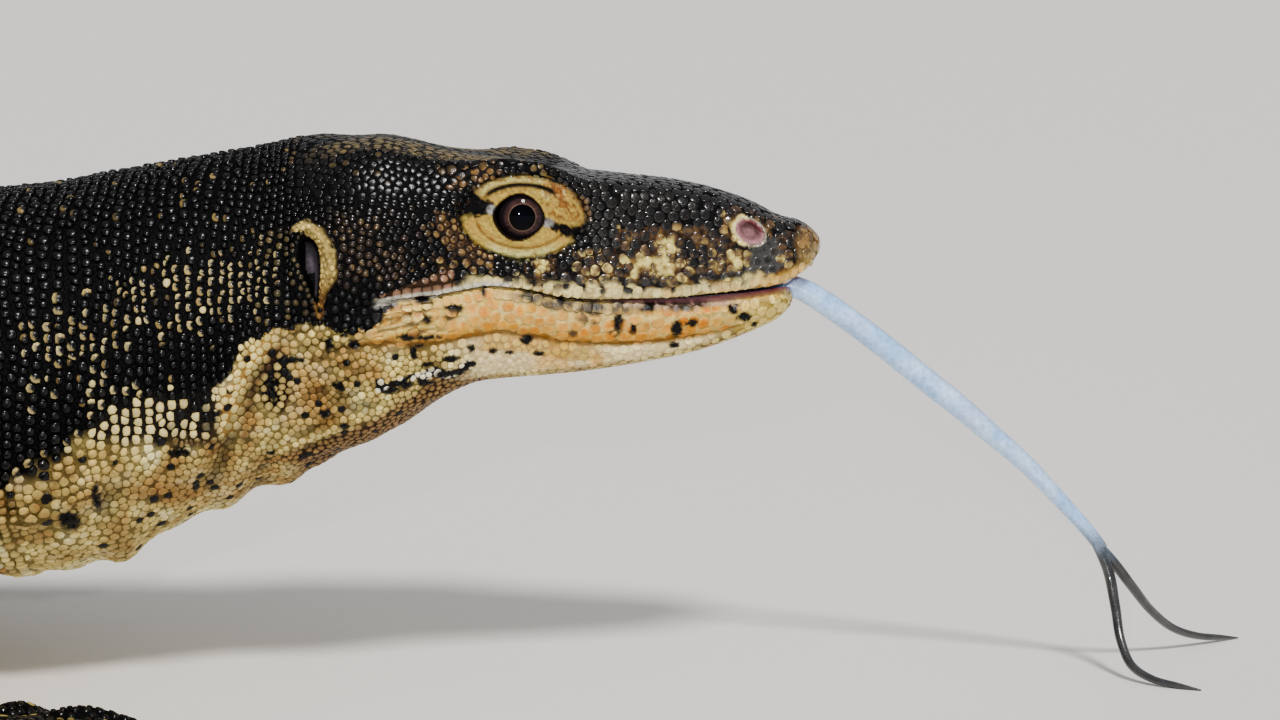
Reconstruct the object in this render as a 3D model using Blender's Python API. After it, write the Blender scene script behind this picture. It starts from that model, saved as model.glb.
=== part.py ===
"""A life-size water monitor lizard that walks on a flat floor with its forked tongue out.

The animal faces +X, its left side is +Y and the floor is z = 0. The trunk, from the snout to the
tip of the tail, is one surface: a run of upright sections, each given by a few heights and half
widths at its station, the distance behind the snout tip. The nodes are lengths of that surface,
with thin gaps between them. Stations, heights and widths are in millimetres up to the last step.
"""

import math

import bmesh
import bpy
import numpy as np
from mathutils import Matrix, Vector

MM = 0.001
GAP = 0.3

# Main sizes of the animal, in millimetres
MOUTH_HEIGHT = 88.0
HEAD_LENGTH = 112.0
VENT_STATION = 655.0
TAIL_END = 1660.0
MOUTH_CORNER = 96.0
CHIN_STATION = 6.2
NECK_BLEND = (99.0, 121.0)
HEAD_END = 122.0
NECK_END = 205.0
CHEST_END = 330.0
BELLY_END = 545.0
PELVIS_END = 672.0
TAIL_CUTS = (820.0, 985.0, 1165.0, 1330.0, 1500.0)

# Heading of the spine: how far it has turned to the left, in degrees, by station
SPINE_TURN = ((0, 0), (150, 0), (260, 3), (430, -6), (600, 5), (760, 20), (980, 52), (1180, 58),
              (1400, 22), (1660, -18))

# Head sections: half widths and heights above the line of the mouth, by station
CROWN_UP = ((0, 13.2), (4.7, 14.2), (8.9, 15.2), (15, 18.3), (22, 20.8), (28, 22.3), (36, 23.6),
            (45, 24.4), (52, 25.0), (60, 26.4), (68, 27.8), (82, 29.8), (90, 31.6), (97, 32.8),
            (103, 32.6), (112, 33.0))
BROW_OUT = ((0, 4.6), (9, 6.6), (16, 7.6), (28, 9.6), (45, 13.0), (52, 15.0), (57, 17.2),
            (63, 18.4), (70, 18.8), (78, 18.0), (86, 17.6), (95, 18.2), (112, 19.0))
BROW_UP = ((0, 12.0), (9, 14.2), (16, 16.9), (28, 20.4), (45, 22.7), (52, 23.6), (57, 25.9),
           (63, 27.7), (70, 28.3), (78, 27.5), (86, 27.9), (92, 29.2), (98, 30.0), (112, 28.6))
SIDE_OUT = ((0, 6.9), (9, 10.0), (16, 11.4), (28, 13.4), (45, 16.4), (55, 17.6), (66, 20.0),
            (78, 22.8), (86, 25.0), (95, 27.0), (104, 27.6), (112, 27.2))
SIDE_UP = ((0, 8.8), (9, 9.6), (16, 11.0), (28, 12.2), (45, 13.0), (55, 14.6), (66, 16.4),
           (78, 15.4), (95, 14.0), (112, 13.0))
LIP_OUT = ((0, 7.4), (9, 11.6), (16, 13.5), (28, 15.8), (45, 19.0), (56, 21.2), (65, 22.8),
           (74, 24.2), (84, 26.0), (95, 28.2), (104, 28.8), (112, 28.6))
LIP_UP = ((0, 4.8), (4, 3.0), (8.9, 0.7), (16, -0.1), (24, -0.8), (36, -1.6), (45, -1.6),
          (56, -0.9), (65, 1.1), (73, 1.9), (78, 1.1), (84, 0.0), (91, -0.6), (95, -1.3),
          (104, -3.0), (112, -4.5))
JAW_OUT = ((6, 7.8), (12, 10.9), (20, 13.2), (28, 15.0), (45, 18.0), (60, 20.9), (75, 23.6),
           (86, 26.0), (95, 28.2), (104, 28.8), (112, 28.2))
JAW_UP = ((6, -4.2), (12, -5.0), (20, -6.6), (28, -7.8), (45, -9.4), (60, -9.6), (75, -9.8),
          (86, -11.0), (95, -13.0), (112, -19.0))
KEEL_OUT = ((6, 5.4), (12, 7.8), (20, 9.6), (28, 11.0), (45, 13.2), (60, 14.8), (75, 16.6),
            (86, 19.0), (95, 21.0), (112, 22.0))
KEEL_UP = ((6, -6.2), (12, -8.4), (20, -11.6), (28, -13.9), (45, -16.8), (60, -18.4), (75, -19.6),
           (86, -23.4), (95, -27.5), (112, -34.5))
THROAT_UP = ((6, -6.6), (11, -8.9), (15, -10.6), (22, -12.9), (28, -14.9), (36, -16.7),
             (45, -18.2), (54, -19.3), (71, -20.4), (77, -21.5), (87, -27.2), (99, -34.8),
             (107, -37.8), (112, -40.3))

# Neck, body and tail: top and bottom above the line of the mouth, and half width
BACK_UP = ((99, 33.0), (108, 33.7), (115, 32.5), (122, 31.0), (129, 29.6), (138, 28.1),
           (147, 26.5), (160, 24.2), (169, 22.4), (190, 20.5), (220, 19.5), (250, 21.0),
           (300, 25.0), (360, 28.0), (430, 29.0), (500, 27.5), (560, 23.5), (610, 18.0),
           (660, 8.0), (720, -7.0), (800, -28.0), (880, -43.0), (1000, -52.0), (1200, -61.5),
           (1400, -72.0), (1600, -83.0), (1660, -86.2))
BELLY_UP = ((99, -35.0), (107, -38.4), (112, -41.2), (118, -44.0), (129, -47.5), (138, -52.0),
            (147, -56.5), (160, -62.5), (169, -65.0), (200, -66.0), (250, -66.5), (360, -67.5),
            (430, -68.0), (500, -67.5), (560, -64.0), (610, -59.0), (640, -56.5), (660, -56.5),
            (720, -63.5), (800, -77.0), (870, -87.0), (900, -89.0), (1200, -88.8),
            (1660, -88.3))
TRUNK_OUT = ((99, 28.4), (112, 28.6), (120, 28.9), (130, 30.2), (145, 33.5), (160, 36.5),
             (175, 39.0), (200, 42.5), (230, 46.0), (260, 49.0), (300, 52.0), (360, 56.0),
             (430, 58.0), (500, 56.0), (560, 50.0), (600, 44.0), (630, 38.5), (660, 33.0),
             (700, 28.0), (760, 23.5), (850, 19.0), (1000, 14.5), (1200, 9.6), (1400, 5.8),
             (1600, 2.5), (1660, 1.3))
# Share of the height, from the bottom up, at which a section is widest
WIDEST_LEVEL = ((99, 0.50), (200, 0.48), (430, 0.42), (600, 0.45), (760, 0.45), (900, 0.36),
                (1660, 0.40))
# How far the section narrows to its double crest: 0 on the round back, 1 on the tail
CREST_SHARE = ((99, 0.0), (640, 0.0), (760, 0.55), (900, 1.0), (1660, 1.0))

SECTION_ANGLES = (0.0, 33.0, 62.0, 92.0, 122.0, 150.0, 180.0)
LIP_KNOT = 3
BOTTOM_KNOT = 6

# How the snout and the chin round off at the front
SNOUT_ROUND = 6.0
SNOUT_CENTRE_UP = 8.6
CHIN_ROUND = 5.0
CHIN_CENTRE_UP = -3.6
MOUTH_OPEN = ((6, 2.2), (10, 2.1), (20, 1.6), (36, 0.6), (50, GAP), (112, GAP))
LOWER_LIP_IN = 0.5

# Folds of loose skin, each (station at its top, station at its foot, knot at top, knot at foot,
# height, half width across)
SKIN_FOLDS = (
    (124.0, 136.0, 2.95, 4.2, 2.6, 4.2),
    (152.0, 204.0, 3.9, 4.5, 2.4, 6.0),
    (110.0, 100.0, 4.0, 4.7, -1.3, 3.0),
    (116.0, 118.0, 4.6, 5.9, 1.2, 3.4),
    (128.0, 132.0, 4.6, 5.9, 1.4, 3.8),
    (150.0, 156.0, 4.7, 5.9, 1.8, 4.5),
)

# Eye, nostril and ear, as station, height above the line of the mouth and size
EYE_STATION = 66.2
EYE_UP = 16.6
EYE_RADIUS = 7.0
EYE_CENTRE_OUT = 14.8
LID_OPENING = (6.5, 6.0)
LID_THICKNESS = 1.1
NOSTRIL_STATION = 15.8
NOSTRIL_UP = 12.3
NOSTRIL_SIZE = (4.0, 2.3)
NOSTRIL_TILT = 32.0
EAR_STATION = 110.6
EAR_UP = 6.8
EAR_SIZE = (2.3, 7.6)
EAR_TILT = 9.0
EAR_DEPTH = 3.4

# Tongue: (x, height above the floor, half thickness) down to the fork
TONGUE_STEM = ((-19, 87.0, 2.2), (-11, 87.9, 2.6), (-4.7, 86.6, 2.7), (1, 83.4, 2.7),
               (6.5, 79.6, 2.6), (15.0, 73.2, 2.5), (23.0, 66.7, 2.4), (31.6, 59.9, 2.3),
               (39.1, 53.4, 2.15), (45.0, 47.5, 2.0), (53.1, 38.3, 1.8), (60.1, 30.0, 1.6),
               (65.2, 22.0, 1.45))
# Tines: (x, y, height, half thickness)
RIGHT_TINE = ((63.4, -0.2, 25.0, 0.9), (66.4, -1.3, 18.2, 1.1), (67.4, -4.2, 12.2, 1.05),
              (67.8, -8.4, 6.9, 0.95), (69.6, -13.0, 3.2, 0.85), (73.6, -17.4, 1.2, 0.7),
              (78.8, -20.4, 0.55, 0.6), (83.4, -22.4, 0.4, 0.45))
LEFT_TINE = ((63.4, 0.2, 25.0, 0.9), (68.4, 1.8, 18.8, 1.1), (72.6, 4.6, 14.6, 1.05),
             (77.4, 9.4, 10.0, 0.95), (83.8, 15.0, 5.4, 0.85), (90.4, 20.2, 2.4, 0.75),
             (96.6, 24.6, 0.8, 0.6), (101.4, 27.6, 0.4, 0.45))

# Legs: joints in the leg's own frame as (behind the snout tip, outwards, height), and half
# thicknesses along each leg from the body to the wrist or ankle
FRONT_LEG_THICKNESS = ((0, 25), (0.16, 22.5), (0.34, 17.5), (0.50, 14.0), (0.60, 14.6),
                       (0.72, 13.6), (0.88, 10.2), (1, 9.0))
HIND_LEG_THICKNESS = ((0, 30), (0.16, 28.0), (0.34, 22.5), (0.50, 16.5), (0.60, 16.6),
                      (0.72, 15.4), (0.88, 11.0), (1, 9.6))
# Each leg is (name, side, joints from the body to the wrist or ankle, foot heading in degrees)
LEGS = (
    ("front_right", -1, ((262, 22, 62), (260, 60, 67), (245, 98, 58), (210, 107, 33),
                         (178, 105, 14)), 5, "front"),
    ("front_left", 1, ((262, 22, 62), (276, 62, 65), (300, 99, 54), (292, 116, 30),
                       (272, 121, 13)), 24, "front"),
    ("hind_right", -1, ((614, 18, 62), (596, 58, 67), (582, 104, 64), (612, 128, 38),
                        (640, 132, 15)), 28, "hind"),
    ("hind_left", 1, ((614, 18, 62), (584, 56, 66), (548, 98, 62), (560, 128, 36),
                      (566, 136, 15)), 14, "hind"),
)
ELBOW_SHARE = 0.52

# Feet: toes as (heading, start ahead of the wrist, start outwards, length, half thickness)
FRONT_TOES = ((-52, 10, -11, 21, 4.5), (-20, 20, -9, 29, 4.6), (2, 24, -1.5, 33, 4.7),
              (24, 21, 6.5, 31, 4.6), (58, 12, 11, 23, 4.3))
HIND_TOES = ((-44, 14, -12, 24, 4.9), (-20, 27, -10, 33, 5.0), (-2, 32, -2.5, 41, 5.1),
             (16, 31, 6, 47, 5.1), (62, 16, 12, 30, 4.6))
PALM = {"front": (30.0, 14.5, 8.4), "hind": (39.0, 16.5, 9.2)}
CLAW = {"front": (11.5, 2.5), "hind": (13.0, 2.7)}

# Mesh fineness
HALF_UPPER = 8
HALF_LOWER = 6
LEG_SIDES = 14
PALM_SIDES = 12
TOE_SIDES = 6
CLAW_SIDES = 6
TONGUE_SIDES = 8
EYE_GRID = (16, 9)

DARK_HIDE = ((0.035, 0.033, 0.028), 0.45)
PALE_HIDE = ((0.62, 0.50, 0.27), 0.5)
EYE_GLOSS = ((0.05, 0.022, 0.018), 0.05)
CLAW_HORN = ((0.06, 0.055, 0.05), 0.3)
TONGUE_WET = ((0.50, 0.58, 0.70), 0.25)


def smooth(table, x):
    """Values of a (station, value) table at x, on a curve with no overshoot."""
    at, value = (np.array(column, float) for column in zip(*table))
    step, rise = np.diff(at), np.diff(value)
    slope = rise / step
    inner = np.where(
        slope[:-1] * slope[1:] > 0,
        2 * slope[:-1] * slope[1:] / np.where(slope[:-1] + slope[1:] == 0, 1, slope[:-1] + slope[1:]),
        0.0,
    )
    tangent = np.concatenate([[slope[0]], inner, [slope[-1]]])
    x = np.clip(np.asarray(x, float), at[0], at[-1])
    i = np.clip(np.searchsorted(at, x, side="right") - 1, 0, len(step) - 1)
    t = (x - at[i]) / step[i]
    return (
        value[i] * (1 + 2 * t) * (1 - t) ** 2
        + step[i] * tangent[i] * t * (1 - t) ** 2
        + value[i + 1] * t * t * (3 - 2 * t)
        + step[i] * tangent[i + 1] * t * t * (t - 1)
    )


def ease(low, high, x):
    """0 below low, 1 above high, and a smooth step between."""
    t = np.clip((np.asarray(x, float) - low) / (high - low), 0, 1)
    return t * t * (3 - 2 * t)


def spine_points(stations):
    """(x, y) of the spine on the floor plan and its turn in radians, at each station."""
    fine = np.arange(0.0, TAIL_END + 1.0)
    turn = np.radians(smooth(SPINE_TURN, fine))
    x = -np.concatenate([[0], np.cumsum(np.cos((turn[1:] + turn[:-1]) / 2))])
    y = -np.concatenate([[0], np.cumsum(np.sin((turn[1:] + turn[:-1]) / 2))])
    stations = np.asarray(stations, float)
    ahead = np.minimum(stations, 0)
    return (
        np.interp(stations, fine, x) - ahead,
        np.interp(stations, fine, y),
        np.interp(stations, fine, turn),
    )


def head_controls(s):
    """Control points (outwards, up) of the right half of each head section, top to bottom."""
    zero = np.zeros_like(s)
    points = (
        (zero, smooth(CROWN_UP, s)),
        (smooth(BROW_OUT, s), smooth(BROW_UP, s)),
        (smooth(SIDE_OUT, s), smooth(SIDE_UP, s)),
        (smooth(LIP_OUT, s), smooth(LIP_UP, s)),
        (smooth(JAW_OUT, s), smooth(JAW_UP, s)),
        (smooth(KEEL_OUT, s), smooth(KEEL_UP, s)),
        (zero, smooth(THROAT_UP, s)),
    )
    points = np.array(points).transpose(2, 0, 1)
    return shrink_to(points, SNOUT_CENTRE_UP, roundness(s, 0.0, SNOUT_ROUND))


def roundness(stations, start, length):
    """The share of its full size that a round end has at each station behind its tip."""
    away = 1 - np.clip((np.asarray(stations, float) - start) / length, 0, 1)
    return np.sqrt(1 - away * away)


def shrink_to(sections, centre_up, share):
    """Sections drawn in, by a share for each, to a point at the middle and at the height given."""
    centre = np.array([0.0, centre_up])
    return centre + (sections - centre) * share[:, None, None]


def trunk_controls(s):
    """Control points of the neck, body and tail sections."""
    top, bottom, out = smooth(BACK_UP, s), smooth(BELLY_UP, s), smooth(TRUNK_OUT, s)
    level = bottom + (top - bottom) * smooth(WIDEST_LEVEL, s)
    crest = smooth(CREST_SHARE, s)
    points = []
    for knot, degrees in enumerate(SECTION_ANGLES):
        angle = math.radians(degrees)
        reach = np.where(math.cos(angle) > 0, top - level, level - bottom)
        narrow = 1 - crest * (0.34 if knot == 1 else 0.10 if knot == 2 else 0.0)
        points.append((out * math.sin(angle) * narrow, level + reach * math.cos(angle)))
    return np.array(points).transpose(2, 0, 1)


def section_controls(stations):
    """Seven control points of the half section at each station: an array (stations, 7, 2)."""
    s = np.asarray(stations, float)
    blend = ease(*NECK_BLEND, s)[:, None, None]
    return head_controls(np.minimum(s, HEAD_LENGTH)) * (1 - blend) + trunk_controls(s) * blend


def round_curve(controls, knots):
    """Points at the given knots of a closed smooth curve through controls and their mirror."""
    mirrored = controls[:, -2:0:-1] * np.array([-1.0, 1.0])
    loop = np.concatenate([controls, mirrored], axis=1)
    n = loop.shape[1]
    system = 4 * np.eye(n) + np.roll(np.eye(n), 1, 0) + np.roll(np.eye(n), -1, 0)
    right = 3 * (np.roll(loop, -1, 1) - np.roll(loop, 1, 1))
    tangent = np.einsum("ij,sjc->sic", np.linalg.inv(system), right)
    i = np.floor(knots).astype(int) % n
    j = (i + 1) % n
    t = (knots - np.floor(knots))[None, :, None]
    return (
        loop[:, i] * (1 + 2 * t) * (1 - t) ** 2
        + tangent[:, i] * t * (1 - t) ** 2
        + loop[:, j] * t * t * (3 - 2 * t)
        + tangent[:, j] * t * t * (t - 1)
    )


def fold_height(stations, knots):
    """How far the folds of loose skin stand out, for each station and knot."""
    s, v = np.meshgrid(stations, knots, indexing="ij")
    total = np.zeros_like(s)
    for top, foot, first, last, height, half in SKIN_FOLDS:
        share = np.clip((v - first) / (last - first), 0, 1)
        away = (s - (top + (foot - top) * share)) / half
        fade = ease(first - 0.35, first + 0.25, v) * (1 - ease(last - 0.1, last + 0.4, v))
        total += height * fade * np.exp(-away * away)
    return total


def outward(points):
    """Unit normals, in the section's plane, of half sections that run from top to bottom."""
    along = np.gradient(points, axis=1)
    normal = np.stack([-along[..., 1], along[..., 0]], -1)
    return normal / np.maximum(np.linalg.norm(normal, axis=-1, keepdims=True), 1e-9)


def half_section(stations, knots, grow=0.0):
    """The half section at each station, at each knot, as (outwards, up) with the folds on it."""
    points = round_curve(section_controls(stations), knots)
    lift = fold_height(stations, knots) + grow
    return points + outward(points) * lift[..., None]


def place_sections(stations, halves):
    """World points, in metres, of whole rings made from half sections and their mirror."""
    x, y, turn = spine_points(stations)
    other = halves[:, -2:0:-1] * np.array([-1.0, 1.0])
    ring = np.concatenate([halves, other], axis=1)
    side, up = -ring[..., 0], np.maximum(ring[..., 1] + MOUTH_HEIGHT, 0.0)
    world = np.stack(
        [x[:, None] - side * np.sin(turn)[:, None], y[:, None] + side * np.cos(turn)[:, None], up],
        -1,
    )
    return world * MM


def mesh_object(name, points, faces, material=None):
    mesh = bpy.data.meshes.new(name)
    mesh.from_pydata([tuple(p) for p in points], [], faces)
    obj = bpy.data.objects.new(name, mesh)
    bpy.context.scene.collection.objects.link(obj)
    if material:
        mesh.materials.append(material)
    face_outwards(obj)
    return obj


def face_outwards(obj):
    """Turns the faces of a closed mesh outwards and shades it smooth."""
    work = bmesh.new()
    work.from_mesh(obj.data)
    bmesh.ops.recalc_face_normals(work, faces=work.faces)
    if work.calc_volume(signed=True) < 0:
        bmesh.ops.reverse_faces(work, faces=work.faces)
    work.to_mesh(obj.data)
    work.free()
    obj.data.shade_smooth()
    obj.data.set_sharp_from_angle(angle=math.radians(40))


def loft(name, rings, material=None):
    """A closed solid through rings of world points, (rings, points, 3), with a fan at each end."""
    count, around = rings.shape[:2]
    points = np.concatenate([rings.reshape(-1, 3), [rings[0].mean(0), rings[-1].mean(0)]])
    faces = []
    for i in range(count - 1):
        for j in range(around):
            k = (j + 1) % around
            a, b = i * around, (i + 1) * around
            faces.append((a + j, a + k, b + k, b + j))
    first, last = count * around, count * around + 1
    end = (count - 1) * around
    for j in range(around):
        k = (j + 1) % around
        faces.append((first, k, j))
        faces.append((last, end + j, end + k))
    return mesh_object(name, points, faces, material)


def material(name, finish):
    colour, roughness = finish
    made = bpy.data.materials.new(name)
    made.use_nodes = True
    shader = made.node_tree.nodes["Principled BSDF"]
    shader.inputs["Base Color"].default_value = (*colour, 1)
    shader.inputs["Roughness"].default_value = roughness
    shader.inputs["Metallic"].default_value = 0.0
    return made


def boolean(target, operation, pieces, solver="EXACT"):
    """Applies one Boolean of target with closed mesh objects, which are then removed."""
    group = bpy.data.collections.new("operands")
    bpy.context.scene.collection.children.link(group)
    for piece in pieces:
        bpy.context.scene.collection.objects.unlink(piece)
        group.objects.link(piece)
    modifier = target.modifiers.new(operation, "BOOLEAN")
    modifier.operation = operation
    modifier.operand_type = "COLLECTION"
    modifier.collection = group
    modifier.solver = solver
    graph = bpy.context.evaluated_depsgraph_get()
    result = bpy.data.meshes.new_from_object(target.evaluated_get(graph))
    target.modifiers.clear()
    old, target.data = target.data, result
    result.name = target.name
    bpy.data.meshes.remove(old)
    for piece in list(group.objects):
        bpy.data.objects.remove(piece)
    bpy.data.collections.remove(group)
    keep_largest(target)


def keep_largest(obj):
    """Drops every loose scrap, and the wall of any sealed hollow, but the largest surface."""
    work = bmesh.new()
    work.from_mesh(obj.data)
    bmesh.ops.remove_doubles(work, verts=work.verts, dist=1e-6)
    unseen, groups = set(work.verts), []
    while unseen:
        group, front = set(), [unseen.pop()]
        while front:
            vert = front.pop()
            group.add(vert)
            near = {edge.other_vert(vert) for edge in vert.link_edges} & unseen
            unseen -= near
            front.extend(near)
        groups.append(group)
    groups.sort(key=len)
    for group in groups[:-1]:
        bmesh.ops.delete(work, geom=list(group), context="VERTS")
    bmesh.ops.triangulate(work, faces=work.faces)
    work.to_mesh(obj.data)
    work.free()
    obj.data.shade_smooth()
    obj.data.set_sharp_from_angle(angle=math.radians(40))


def trunk_length(name, start, end, step, finish=None, grow=0.0):
    """One length of the trunk, between two stations, with a ring about every step."""
    stations = np.linspace(start, end, max(2, round((end - start) / step) + 1))
    knots = np.concatenate(
        [np.linspace(0, LIP_KNOT, HALF_UPPER + 1), np.linspace(LIP_KNOT, BOTTOM_KNOT, HALF_LOWER + 1)[1:]]
    )
    halves = half_section(stations, knots, grow)
    return loft(name, place_sections(stations, halves), finish)


def front_stations(start, end, round_off, count):
    """Stations that crowd towards the round tip at start."""
    share = np.linspace(0.02, 1, count)
    bend = np.where(share < 0.3, share * share / 0.3 * 0.5, 0.15 + (share - 0.3) * (0.85 / 0.7))
    stations = start + (end - start) * bend
    return stations[stations < end - round_off * 0.01]


def head_solid(finish):
    """The skull part: full sections behind the corner of the mouth, and the upper jaw before it."""
    before = np.append(front_stations(0, MOUTH_CORNER, SNOUT_ROUND, 22), MOUTH_CORNER)
    behind = np.linspace(MOUTH_CORNER + 0.4, HEAD_END - GAP, 6)
    upper = np.linspace(0, LIP_KNOT, HALF_UPPER + 1)
    lower = np.linspace(LIP_KNOT, BOTTOM_KNOT, HALF_LOWER + 1)[1:]
    roof = half_section(before, upper)
    share = np.linspace(0, 1, HALF_LOWER + 1)[1:][None, :]
    lip = roof[:, -1]
    palate = np.stack([lip[:, :1] * (1 - share), lip[:, 1:] + 0.0 * share], -1)
    front = place_sections(before, np.concatenate([roof, palate], 1))
    full = place_sections(behind, half_section(behind, np.concatenate([upper, lower])))
    return loft("head", np.concatenate([front, full]), finish)


def jaw_solid(finish):
    """The lower jaw, up to the corner of the mouth."""
    stations = np.append(
        front_stations(CHIN_STATION, MOUTH_CORNER - GAP, CHIN_ROUND, 18), MOUTH_CORNER - GAP
    )
    lower = half_section(stations, np.linspace(LIP_KNOT, BOTTOM_KNOT, HALF_LOWER + 1))
    lip_up = smooth(LIP_UP, stations) - smooth(MOUTH_OPEN, stations)
    lip_out = smooth(LIP_OUT, stations) - LOWER_LIP_IN
    share = np.linspace(0, 1, 4)[None, :]
    floor = np.stack([lip_out[:, None] * share, lip_up[:, None] + 0.0 * share], -1)
    half = np.concatenate([floor, lower[:, 1:]], 1)
    half = shrink_to(half, CHIN_CENTRE_UP, roundness(stations, CHIN_STATION, CHIN_ROUND))
    return loft("jaw", place_sections(stations, half), finish)


def ball(name, centre, radii, turn=None, segments=20, rings=12, finish=None):
    """A closed ellipsoid, in millimetres, turned by a matrix about its own centre."""
    mesh = bpy.data.meshes.new(name)
    work = bmesh.new()
    bmesh.ops.create_uvsphere(work, u_segments=segments, v_segments=rings, radius=1.0)
    size = Matrix.Diagonal((*[r * MM for r in radii], 1.0))
    place = Matrix.Translation(Vector(centre) * MM) @ (turn or Matrix.Identity(4)) @ size
    bmesh.ops.transform(work, matrix=place, verts=work.verts)
    work.to_mesh(mesh)
    work.free()
    obj = bpy.data.objects.new(name, mesh)
    bpy.context.scene.collection.objects.link(obj)
    if finish:
        mesh.materials.append(finish)
    face_outwards(obj)
    return obj


def frames_along(points, up=(0.0, 0.0, 1.0)):
    """Unit tangent, side and normal at each point of a path."""
    tangent = np.gradient(points, axis=0)
    tangent /= np.linalg.norm(tangent, axis=1, keepdims=True)
    side = np.cross(tangent, np.array(up, float))
    side /= np.maximum(np.linalg.norm(side, axis=1, keepdims=True), 1e-9)
    return tangent, side, np.cross(side, tangent)


def path_through(points, count):
    """A smooth path, evenly spaced, through a few points of any dimension."""
    points = np.array(points, float)
    reach = np.concatenate([[0], np.cumsum(np.linalg.norm(np.diff(points[:, :3], axis=0), axis=1))])
    columns = [centripetal(reach, points[:, c], count) for c in range(points.shape[1])]
    return np.stack(columns, -1)


def centripetal(at, value, count):
    """One coordinate of a cubic curve through (at, value), with slopes from its neighbours."""
    slope = np.gradient(value, at)
    x = np.linspace(at[0], at[-1], count)
    i = np.clip(np.searchsorted(at, x, side="right") - 1, 0, len(at) - 2)
    step = at[i + 1] - at[i]
    t = (x - at[i]) / step
    return (
        value[i] * (1 + 2 * t) * (1 - t) ** 2
        + step * slope[i] * t * (1 - t) ** 2
        + value[i + 1] * t * t * (3 - 2 * t)
        + step * slope[i + 1] * t * t * (t - 1)
    )


def tube_rings(path, thick, wide, sides, up=(0.0, 0.0, 1.0)):
    """Rings in metres round a path in millimetres, thick along its normal and wide across."""
    _, side, normal = frames_along(path, up)
    angle = np.linspace(0, 2 * math.pi, sides, endpoint=False)
    across = np.cos(angle)[None, :, None] * side[:, None] * np.asarray(wide)[:, None, None]
    over = np.sin(angle)[None, :, None] * normal[:, None] * np.asarray(thick)[:, None, None]
    return (path[:, None] + across + over) * MM


def tongue_solid(finish):
    """The stem of the tongue and its two tines, joined at the fork."""
    stem = path_through([(x, 0.0, up, half) for x, up, half in TONGUE_STEM], 20)
    pieces = []
    for name, points in (("tine_right", RIGHT_TINE), ("tine_left", LEFT_TINE)):
        tine = path_through(points, 12)
        pieces.append(loft(name, tube_rings(tine[:, :3], tine[:, 3], tine[:, 3], 6)))
    whole = loft("tongue", tube_rings(stem[:, :3], stem[:, 3] * 0.9, stem[:, 3], TONGUE_SIDES), finish)
    boolean(whole, "UNION", pieces)
    flatten_under(whole)
    return whole


def tongue_clearance():
    """A cutter a gap larger than the root of the tongue."""
    stem = path_through([(x, 0.0, up, half) for x, up, half in TONGUE_STEM[:5]], 14)
    extended = np.concatenate([stem[:1] - [[GAP, 0, 0, 0]], stem])
    rings = tube_rings(extended[:, :3], extended[:, 3] * 0.9 + GAP, extended[:, 3] + GAP, TONGUE_SIDES)
    return loft("tongue_clearance", rings)


def flatten_under(obj):
    """Cuts off what lies under the floor and closes the cut, which leaves small flats."""
    work = bmesh.new()
    work.from_mesh(obj.data)
    geometry = work.verts[:] + work.edges[:] + work.faces[:]
    cut = bmesh.ops.bisect_plane(
        work, geom=geometry, plane_co=(0, 0, 0), plane_no=(0, 0, 1), clear_inner=True, dist=1e-7
    )
    edges = [g for g in cut["geom_cut"] if isinstance(g, bmesh.types.BMEdge)]
    bmesh.ops.holes_fill(work, edges=edges)
    bmesh.ops.triangulate(work, faces=work.faces)
    work.to_mesh(obj.data)
    work.free()
    face_outwards(obj)


def surface_out(station, up):
    """Half width of the head at a station, at a height above the line of the mouth."""
    knots = np.linspace(0.3, 5.7, 200)
    half = half_section(np.array([station]), knots)[0]
    return float(np.interp(-up, -half[:, 1], half[:, 0]))


def side_turn(side, tilt):
    """Turns a shape whose own X runs along the body and whose Y runs up to lie on the side."""
    return Matrix.Rotation(math.radians(tilt) * -side, 4, "Y")


def lid_ring(side):
    """The rim of both lids: a tube round the eye that follows the eyeball."""
    centre = np.array([-EYE_STATION, side * EYE_CENTRE_OUT, MOUTH_HEIGHT + EYE_UP])
    angle = np.linspace(0, 2 * math.pi, 18, endpoint=False)
    along, up = LID_OPENING[0] * np.cos(angle), LID_OPENING[1] * np.sin(angle)
    out = np.sqrt(np.maximum((EYE_RADIUS + 0.7) ** 2 - along**2 - up**2, 1.5))
    middle = centre + np.stack([along, side * out, up], -1)
    turn = np.linspace(0, 2 * math.pi, 6, endpoint=False)
    from_centre = middle - centre
    from_centre /= np.linalg.norm(from_centre, axis=1, keepdims=True)
    tangent = np.roll(middle, -1, 0) - np.roll(middle, 1, 0)
    tangent /= np.linalg.norm(tangent, axis=1, keepdims=True)
    across = np.cross(tangent, from_centre)
    rings = (
        middle[:, None]
        + (np.cos(turn)[None, :, None] * across[:, None] * 1.3
           + np.sin(turn)[None, :, None] * from_centre[:, None]) * LID_THICKNESS
    ) * MM
    count, around = rings.shape[:2]
    faces = [
        (i * around + j, i * around + (j + 1) % around,
         (i + 1) % count * around + (j + 1) % around, (i + 1) % count * around + j)
        for i in range(count)
        for j in range(around)
    ]
    return mesh_object("lid", rings.reshape(-1, 3), faces)


def rim_tube(name, station, up, size, tilt, side, thickness, share=(0.0, 1.0), sunk=0.0):
    """A raised rim on the skin round a nostril or before the ear, as an open or closed arc."""
    angle = np.linspace(share[0], share[1], 11) * 2 * math.pi
    lean = math.radians(tilt)
    along, over = size[0] * np.cos(angle), size[1] * np.sin(angle)
    ahead = along * math.cos(lean) + over * math.sin(lean)
    above = over * math.cos(lean) - along * math.sin(lean)
    stations, heights = station - ahead, up + above
    out = np.array([surface_out(s, h) for s, h in zip(stations, heights)])
    path = np.stack([-stations, side * (out - sunk), MOUTH_HEIGHT + heights], -1)
    fade = np.sin(np.linspace(0, 1, 11) * math.pi) ** 0.5 * 0.65 + 0.35
    rings = tube_rings(path, thickness * fade, thickness * fade, 6, up=(0, 1, 0))
    return loft(name, rings)


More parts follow.
